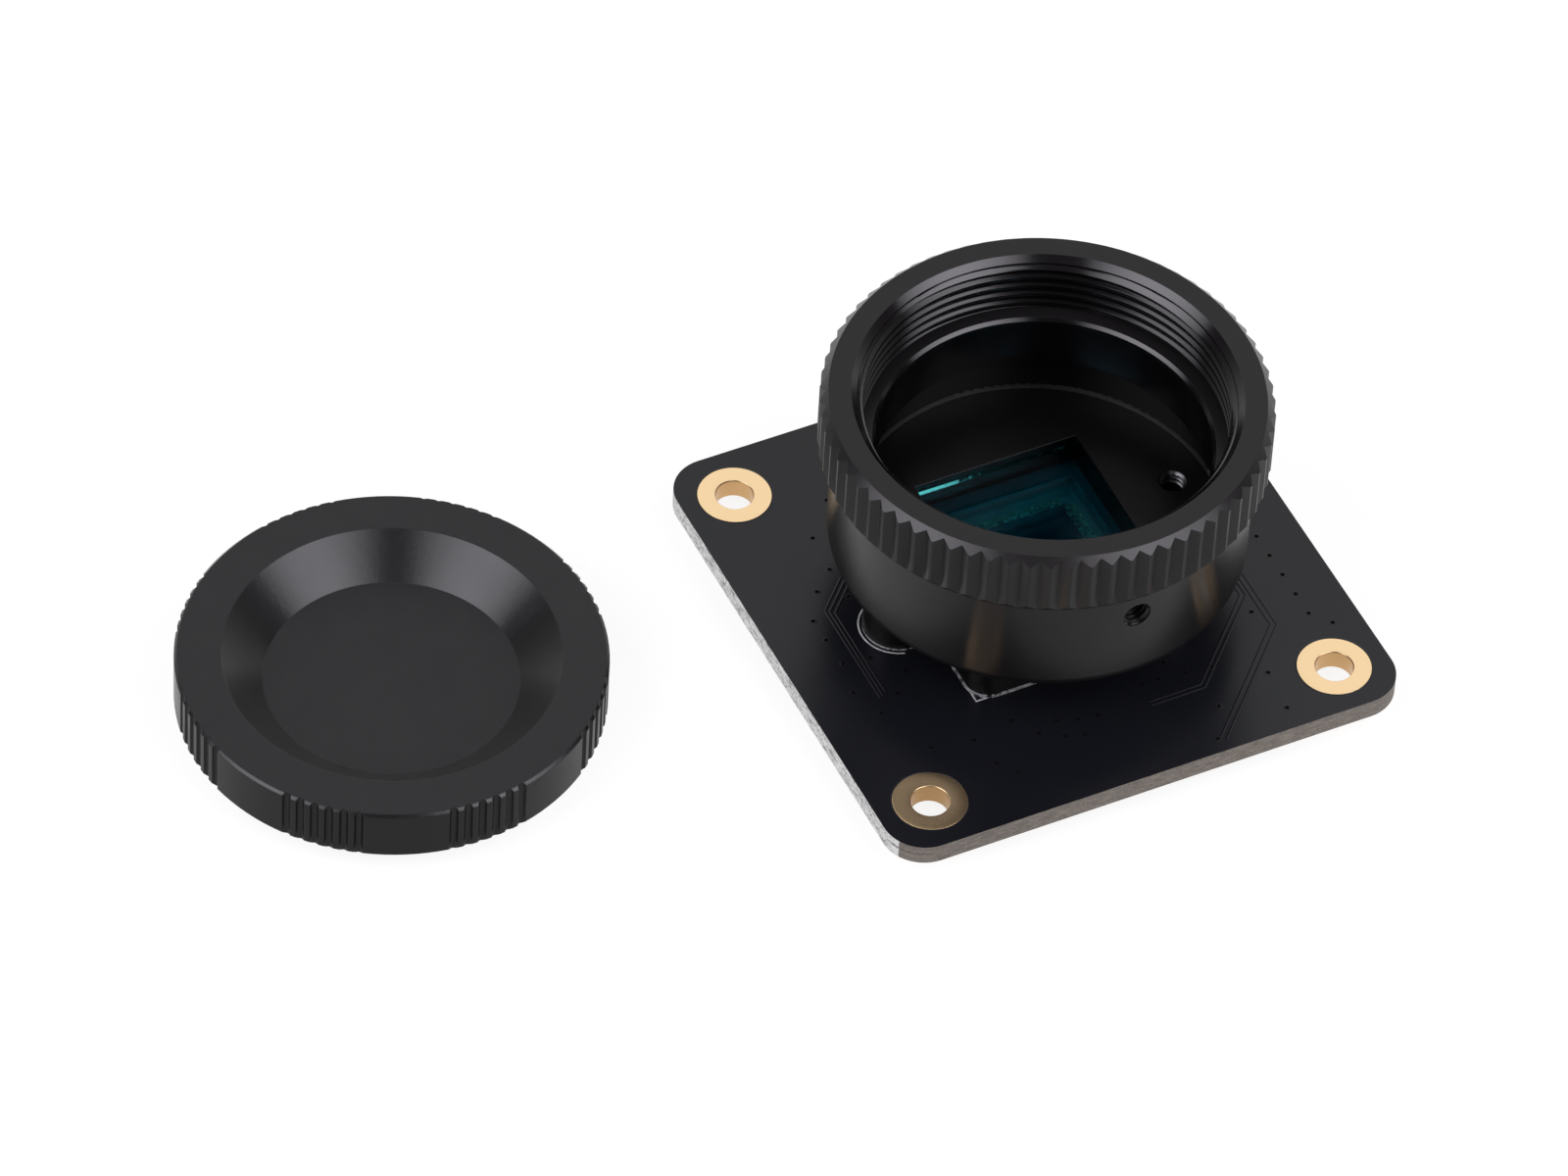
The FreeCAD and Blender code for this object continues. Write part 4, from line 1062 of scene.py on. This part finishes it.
# %% Threads of the tapped holes
TAP_RADIUS = 1.0 * MM
TAP_PITCH = 0.4 * MM
TAP_DEPTH = THREAD_SHARE * TAP_PITCH
SCREW_HEAD_RADIUS = 1.9 * MM
SCREW_LOW, SCREW_HIGH = box_of("housing_screws")
SCREW_OFFSET = (SCREW_HIGH[0] - SCREW_LOW[0]) / 2 - SCREW_HEAD_RADIUS
FLOOR_HEIGHT = BOARD_TOP + 5.5 * MM
LOCK_HEIGHT = BOARD_TOP + 10.75 * MM
HOUSING_RADIUS = HOUSING_HIGH[0]
HOUSING_WALL = 1.3 * MM
LOCK_SETBACK = 0.1 * MM



def tap_thread(low, high):
    """The thread of one tapped hole."""
    return bore_thread(TAP_RADIUS - SKIN, TAP_RADIUS - TAP_DEPTH, TAP_PITCH, low, high, 0.0, segments=48)


points, faces = tap_thread(SCREW_HIGH[2] + 0.02 * MM, FLOOR_HEIGHT - 0.03 * MM)
tapped = [(points + (side * SCREW_OFFSET, 0, 0), faces) for side in (-1, 1)]
bare_cut = plain_finish("bare_cut", (0.14, 0.14, 0.145, 1.0), 0.24, 0.32, metal=1.0)
add_piece("floor_threads", tapped, bare_cut, 24)
points, faces = tap_thread(0.0, HOUSING_WALL - LOCK_SETBACK)
lying = points[..., [0, 2, 1]] * (1, -1, 1)
lock_thread = (lying + (0, -(HOUSING_RADIUS - HOUSING_WALL), LOCK_HEIGHT), faces)
add_piece("lock_thread", [lock_thread], housing_finish, 24)

# %% [markdown]
# Copper traces lie under the solder mask and lift it a little, so they show only as embossed
# lines. Vias are small plated holes that the mask has closed: each leaves a low rim with a dimple
# that looks like a black dot. The white print is a thin ink line: a square round the mount's foot
# and an arc round each of its ears. Every line starts a hair below the board's face.

# %% Traces under the mask
TRACE_WIDTH = 0.20 * MM
TRACE_HEIGHT = 0.030 * MM
TRACE_BASE = BOARD_TOP - 0.002 * MM
top_traces = [
    [(13.36, 3.4), (13.36, -10.22), (5.50, -18.08)],
    [(12.96, 3.4), (12.96, -10.06), (5.10, -17.92)],
    [(12.66, -5.6), (12.66, -6.99), (6.30, -13.35), (2.2, -13.35)],
    [(12.30, -5.0), (12.30, -6.85), (6.15, -13.00), (2.2, -13.00)],
    [(-11.80, 5.40), (-14.15, 3.05), (-14.15, -5.6)],
    [(-11.66, 5.06), (-13.88, 2.84), (-13.88, -5.4)],
    [(-11.50, 4.70), (-13.59, 2.61), (-13.59, -5.2)],
]
lines = [raised_line(np.array(path) * MM, TRACE_WIDTH, TRACE_HEIGHT, TRACE_BASE) for path in top_traces]
add_piece("board_traces", lines, mask_black, 60)

# %% Vias closed by the mask
VIA_RIM = np.array([(0.26, -0.01), (0.26, 0.0), (0.22, 0.007), (0.18, 0.008), (0.155, 0.003),
                    (0.155, -0.01)]) * MM
VIA_DIMPLE = np.array([(0.0, -0.01), (0.16, -0.01), (0.16, 0.003), (0.09, 0.001), (0.0, 0.0005)]) * MM
via_column = [(15.8, y) for y in np.arange(-10.15, 12.0, 1.93)]
via_singles = [
    (16.9, -11.55), (12.3, -8.5), (10.8, -13.87), (10.5, -17.2), (6.35, -15.25), (4.95, -17.82),
    (7.55, -11.9), (4.72, -10.25), (5.67, -11.68), (3.73, -11.42), (2.5, -11.45), (-12.2, 6.33),
    (-13.87, 4.82), (-15.27, 2.5), (-12.1, 3.58), (-15.2, 0.6), (-15.1, -1.8), (-13.2, -2.0),
    (-11.5, -4.0), (-12.9, -5.65), (-14.7, -6.8), (-15.6, -4.4), (-13.0, -10.9), (-10.05, -11.45),
    (-9.6, -13.9), (-8.65, -15.15), (-7.0, -10.9), (-4.2, -12.1), (-5.8, -12.65), (-4.3, -13.55),
    (-3.05, -13.95), (-2.85, -12.55), (-1.5, -12.75), (-12.0, 9.4), (-9.6, 12.2), (-3.1, 15.6),
    (4.4, 16.1), (8.9, 13.4), (11.8, 9.9),
]
via_spots = np.array(via_column + via_singles) * MM
via_places = [(x, y, BOARD_TOP) for x, y in via_spots]
add_piece("via_rims", turned(VIA_RIM, via_places, 16), mask_black, 60)
hole_dark = plain_finish("hole_dark", (0.0015, 0.0015, 0.0018, 1.0), 0.85, 0.95, index=1.2)
add_piece("via_dimples", turned(VIA_DIMPLE, via_places, 16), hole_dark, 60)
print(len(via_spots), "vias")

# %% White print round the foot
PRINT_WIDTH = 0.12 * MM
PRINT_HEIGHT = 0.012 * MM
PRINT_BASE = BOARD_TOP - 0.001 * MM
FOOT_HALF = 8.45 * MM
PRINT_HALF = FOOT_HALF - 0.06 * MM
EAR_RADIUS = 2.4 * MM
EAR_GAP = 0.24 * MM
EAR_ARC = 150.0
square = np.array([(-1, -1), (1, -1), (1, 1), (-1, 1)]) * PRINT_HALF
print_lines = [raised_line(square, PRINT_WIDTH, PRINT_HEIGHT, PRINT_BASE, closed=True)]
arc = np.linspace(-0.5, 0.5, 33) * math.radians(EAR_ARC)
reach = EAR_RADIUS + EAR_GAP
ear = np.stack([SCREW_OFFSET + reach * np.cos(arc), reach * np.sin(arc)], axis=1)
for side in (-1, 1):
    print_lines.append(raised_line(ear * (side, 1), PRINT_WIDTH, PRINT_HEIGHT, PRINT_BASE))
add_piece("white_print", print_lines, print_white, 60)

# %% [markdown]
# Where the foot meets the board a thin pale line, broken into dashes, is painted as a highlight of
# the foot's lower edge. It follows the foot's square with its rounded corners.

# %% The pale line round the foot
SEAM_WIDTH = 0.11 * MM
SEAM_HEIGHT = 0.05 * MM
FOOT_CORNER = 1.6 * MM
# The line's pale colour is a painted highlight, and its dark colour fills the gaps between dashes.
SEAM_GLINT_DARK, SEAM_GLINT_PALE = (0.006, 0.006, 0.007, 1.0), (0.42, 0.43, 0.44, 1.0)
turn_angle = np.linspace(0, np.pi / 2, 9)
corner_arc = np.stack([np.cos(turn_angle), np.sin(turn_angle)], axis=1) * FOOT_CORNER
inner = FOOT_HALF - FOOT_CORNER
foot_path = np.concatenate([
    (corner_arc @ np.array([(c, s), (-s, c)])) + np.array((mx, my)) * inner
    for c, s, mx, my in ((1, 0, 1, 1), (0, 1, -1, 1), (-1, 0, -1, -1), (0, -1, 1, -1))])
foot_path *= 1 + (SEAM_WIDTH * 0.5) / FOOT_HALF


def seam_glint_finish():
    """A painted highlight of the foot's edge, broken into dashes."""
    material, tree = new_tree("foot_seam")
    spot = place_of(tree)
    patches = spread(tree, noise(tree, spot, 1300.0, 3.0, 0.7), 0.40, 0.60)
    colour = mix_colour(tree, patches, SEAM_GLINT_DARK, SEAM_GLINT_PALE)
    cover(tree, skin(tree, {"Base Color": colour, "Roughness": 0.5}))
    return material


seam = raised_line(foot_path, SEAM_WIDTH, SEAM_HEIGHT, PRINT_BASE, closed=True)
add_piece("foot_seam", [seam], seam_glint_finish(), 60)

# %% [markdown]
# Down in the package, hair-thin gold wires join the die to gold fingers on the carrier. Through the
# blue-green glass they are the bright dashes along the die's edges.

# %% Bond wires and fingers
PACKAGE_WALL = 1.15 * MM
PACKAGE_HIGH = box_of("sensor_package")[1]
WELL_HALF = PACKAGE_HIGH[0] - PACKAGE_WALL
WIRE_RADIUS = 0.030 * MM
WIRE_PITCH = 0.36 * MM
WIRE_SIDES = 5
WIRE_LIFT = 0.12 * MM
DIE_INSET, WALL_INSET = 0.18 * MM, 0.16 * MM
FINGER_LENGTH, FINGER_WIDTH, FINGER_HEIGHT = 0.28 * MM, 0.2 * MM, 0.015 * MM
FINGER_START = WELL_HALF - 0.02 * MM


def bond_wire(start, end, lift, steps=8):
    """A thin tube over an arch: the straight line from start to end plus a parabola of that lift."""
    t = np.linspace(0, 1, steps)[:, None]
    line = start + (end - start) * t + np.array([0, 0, 1.0]) * lift * 4 * t * (1 - t)
    along = np.gradient(line, axis=0)
    along /= np.linalg.norm(along, axis=1)[:, None]
    side = np.cross(along, (0, 0, 1.0))
    side /= np.linalg.norm(side, axis=1)[:, None]
    up = np.cross(side, along)
    a = np.linspace(0, 2 * np.pi, WIRE_SIDES, endpoint=False)
    shape = (line[:, None] + WIRE_RADIUS * (side[:, None] * np.cos(a)[None, :, None]
                                            + up[:, None] * np.sin(a)[None, :, None]))
    return shape.reshape(-1, 3), tube_faces(steps, WIRE_SIDES)


wires, fingers = [], []
die_half = (DIE_HIGH - DIE_LOW) / 2
for axis in (0, 1):
    other = 1 - axis
    count = int(die_half[other] * 2 / WIRE_PITCH) - 1
    for sign in (-1, 1):
        for step in range(count):
            start, end = np.zeros(3), np.zeros(3)
            start[other] = end[other] = (step - (count - 1) / 2) * WIRE_PITCH
            start[axis] = sign * (die_half[axis] - DIE_INSET)
            end[axis] = sign * (WELL_HALF - WALL_INSET)
            start[2], end[2] = DIE_HIGH[2] + WIRE_RADIUS, DIE_LOW[2] + WIRE_RADIUS
            wires.append(bond_wire(start, end, WIRE_LIFT))
            path = np.array([end, end])[:, :2]
            path[:, axis] = sign * FINGER_START, sign * (FINGER_START - FINGER_LENGTH)
            fingers.append(raised_line(path, FINGER_WIDTH, FINGER_HEIGHT, DIE_LOW[2]))
add_piece("bond_wires", wires, gold, 60)
add_piece("bond_fingers", fingers, gold, 60)

# %% [markdown]
# A bright blue-green line lies on the far wall of the window, a little below the floor, and ends
# where the ring's mouth cuts off the right softbox. A fine step whose face leans at 45 degrees
# mirrors that lamp there. Its colour is painted too: a painted highlight up to that end, and
# painted shade past it with specks of painted highlight.

# %% The step in the window's wall, with a painted highlight
WINDOW_HALF = np.array((12.1, 12.8)) / 2 * MM
STEP_HEIGHT = FLOOR_HEIGHT - 0.83 * MM
STEP_SIZE = 0.16 * MM
STEP_COLUMNS = 25
# The step's colours are a painted highlight and a painted shade.
STEP_SHADE_DARK, STEP_GLINT_BRIGHT = (0.001, 0.006, 0.007, 1.0), (0.045, 0.25, 0.24, 1.0)
GLINT_END = -2.8 * MM
GLINT_FADE = 0.12 * MM


def step_glint_finish():
    """A smooth skin in the glass's colour: a painted highlight to the left of the mouth's shadow, painted
    shade with specks past it.
    """
    material, tree = new_tree("step_cyan")
    spot = place_of(tree)
    along = parts_of(tree, spot)[0]
    # Painted highlight: bright to the left of the end, dark past it, with specks.
    specks = spread(tree, noise(tree, spot, 1900.0, 3.0, 0.7), 0.52, 0.66, 0.0, 0.5)
    bright = spread(tree, along, GLINT_END, GLINT_END + GLINT_FADE, 1.0, 0.0)
    colour = mix_colour(tree, maths(tree, "MAXIMUM", bright, specks), STEP_SHADE_DARK, STEP_GLINT_BRIGHT)
    normal = bumped(tree, noise(tree, spot, 5000.0, 2.0, 0.6), 3.0e-6)
    cover(tree, skin(tree, {
        "Base Color": colour, "Metallic": 1.0, "Roughness": 0.14, "Normal": normal}))
    return material


run_x = WINDOW_HALF[0] - 0.03 * MM
wall_y = WINDOW_HALF[1] - 0.01 * MM
profile = np.array([(WINDOW_HALF[1] - STEP_SIZE, STEP_HEIGHT), (wall_y, STEP_HEIGHT),
                    (wall_y, STEP_HEIGHT + STEP_SIZE)])
marks = np.linspace(-run_x, run_x, STEP_COLUMNS)[:, None]
shape = np.stack(np.broadcast_arrays(marks, profile[:, 0], profile[:, 1]), axis=2)
step = (shape, tube_faces(STEP_COLUMNS, 3))
add_piece("window_step", [step], step_glint_finish())

# %% [markdown]
# The parts on the underside are soldered. Solder climbs each metal end and runs out on the board in
# a hollow curve, so a joint is a small wedge whose top follows a quarter circle bent inward.

# %% Solder joints
SOLDER_TAPER = 0.25
SOLDER_WIDTH_SHARE = 0.92


def fillet_wedge(foot, outward, width, length, height, steps=6):
    """A wedge of solder against an upright face below the board.

    Along the outward way its depth is height times (1 - sqrt(1 - (1 - t)^2)), a hollow quarter
    circle, and its sides are straight."""
    outward = np.asarray(outward, float)
    sideways = np.array([-outward[1], outward[0], 0.0])
    t = np.linspace(0, 1, steps)
    depth = height * (1 - np.sqrt(np.clip(1 - (1 - t) ** 2, 0, 1)))
    ridge = foot + outward * length * t[:, None] - np.array([0, 0, 1.0]) * depth[:, None]
    base = foot + outward * length * t[:, None]
    half = sideways * width / 2 * (1 - SOLDER_TAPER * t)[:, None]
    ring = np.stack([base - half, ridge - half, ridge + half, base + half], axis=1)
    return ring.reshape(-1, 3), tube_faces(steps, 4)


joints = []


def solder_ends(low, high, axis, length, share=0.75):
    """A wedge at both ends of each block along one axis."""
    for a, b in zip(low, high):
        middle = (a + b) / 2
        width = (b - a)[1 - axis] * SOLDER_WIDTH_SHARE
        for sign in (-1, 1):
            foot = middle.copy()
            foot[axis] = b[axis] if sign > 0 else a[axis]
            foot[2] = b[2]
            outward = np.zeros(3)
            outward[axis] = sign
            joints.append(fillet_wedge(foot, outward, width, length, (b - a)[2] * share))


solder_ends(small_low, small_high, 1, 0.28 * MM)
solder_ends(film_low, film_high, 1, 0.28 * MM)
solder_ends(large_low, large_high, 0, 0.4 * MM)
add_piece("solder_joints", joints, tin, 40)
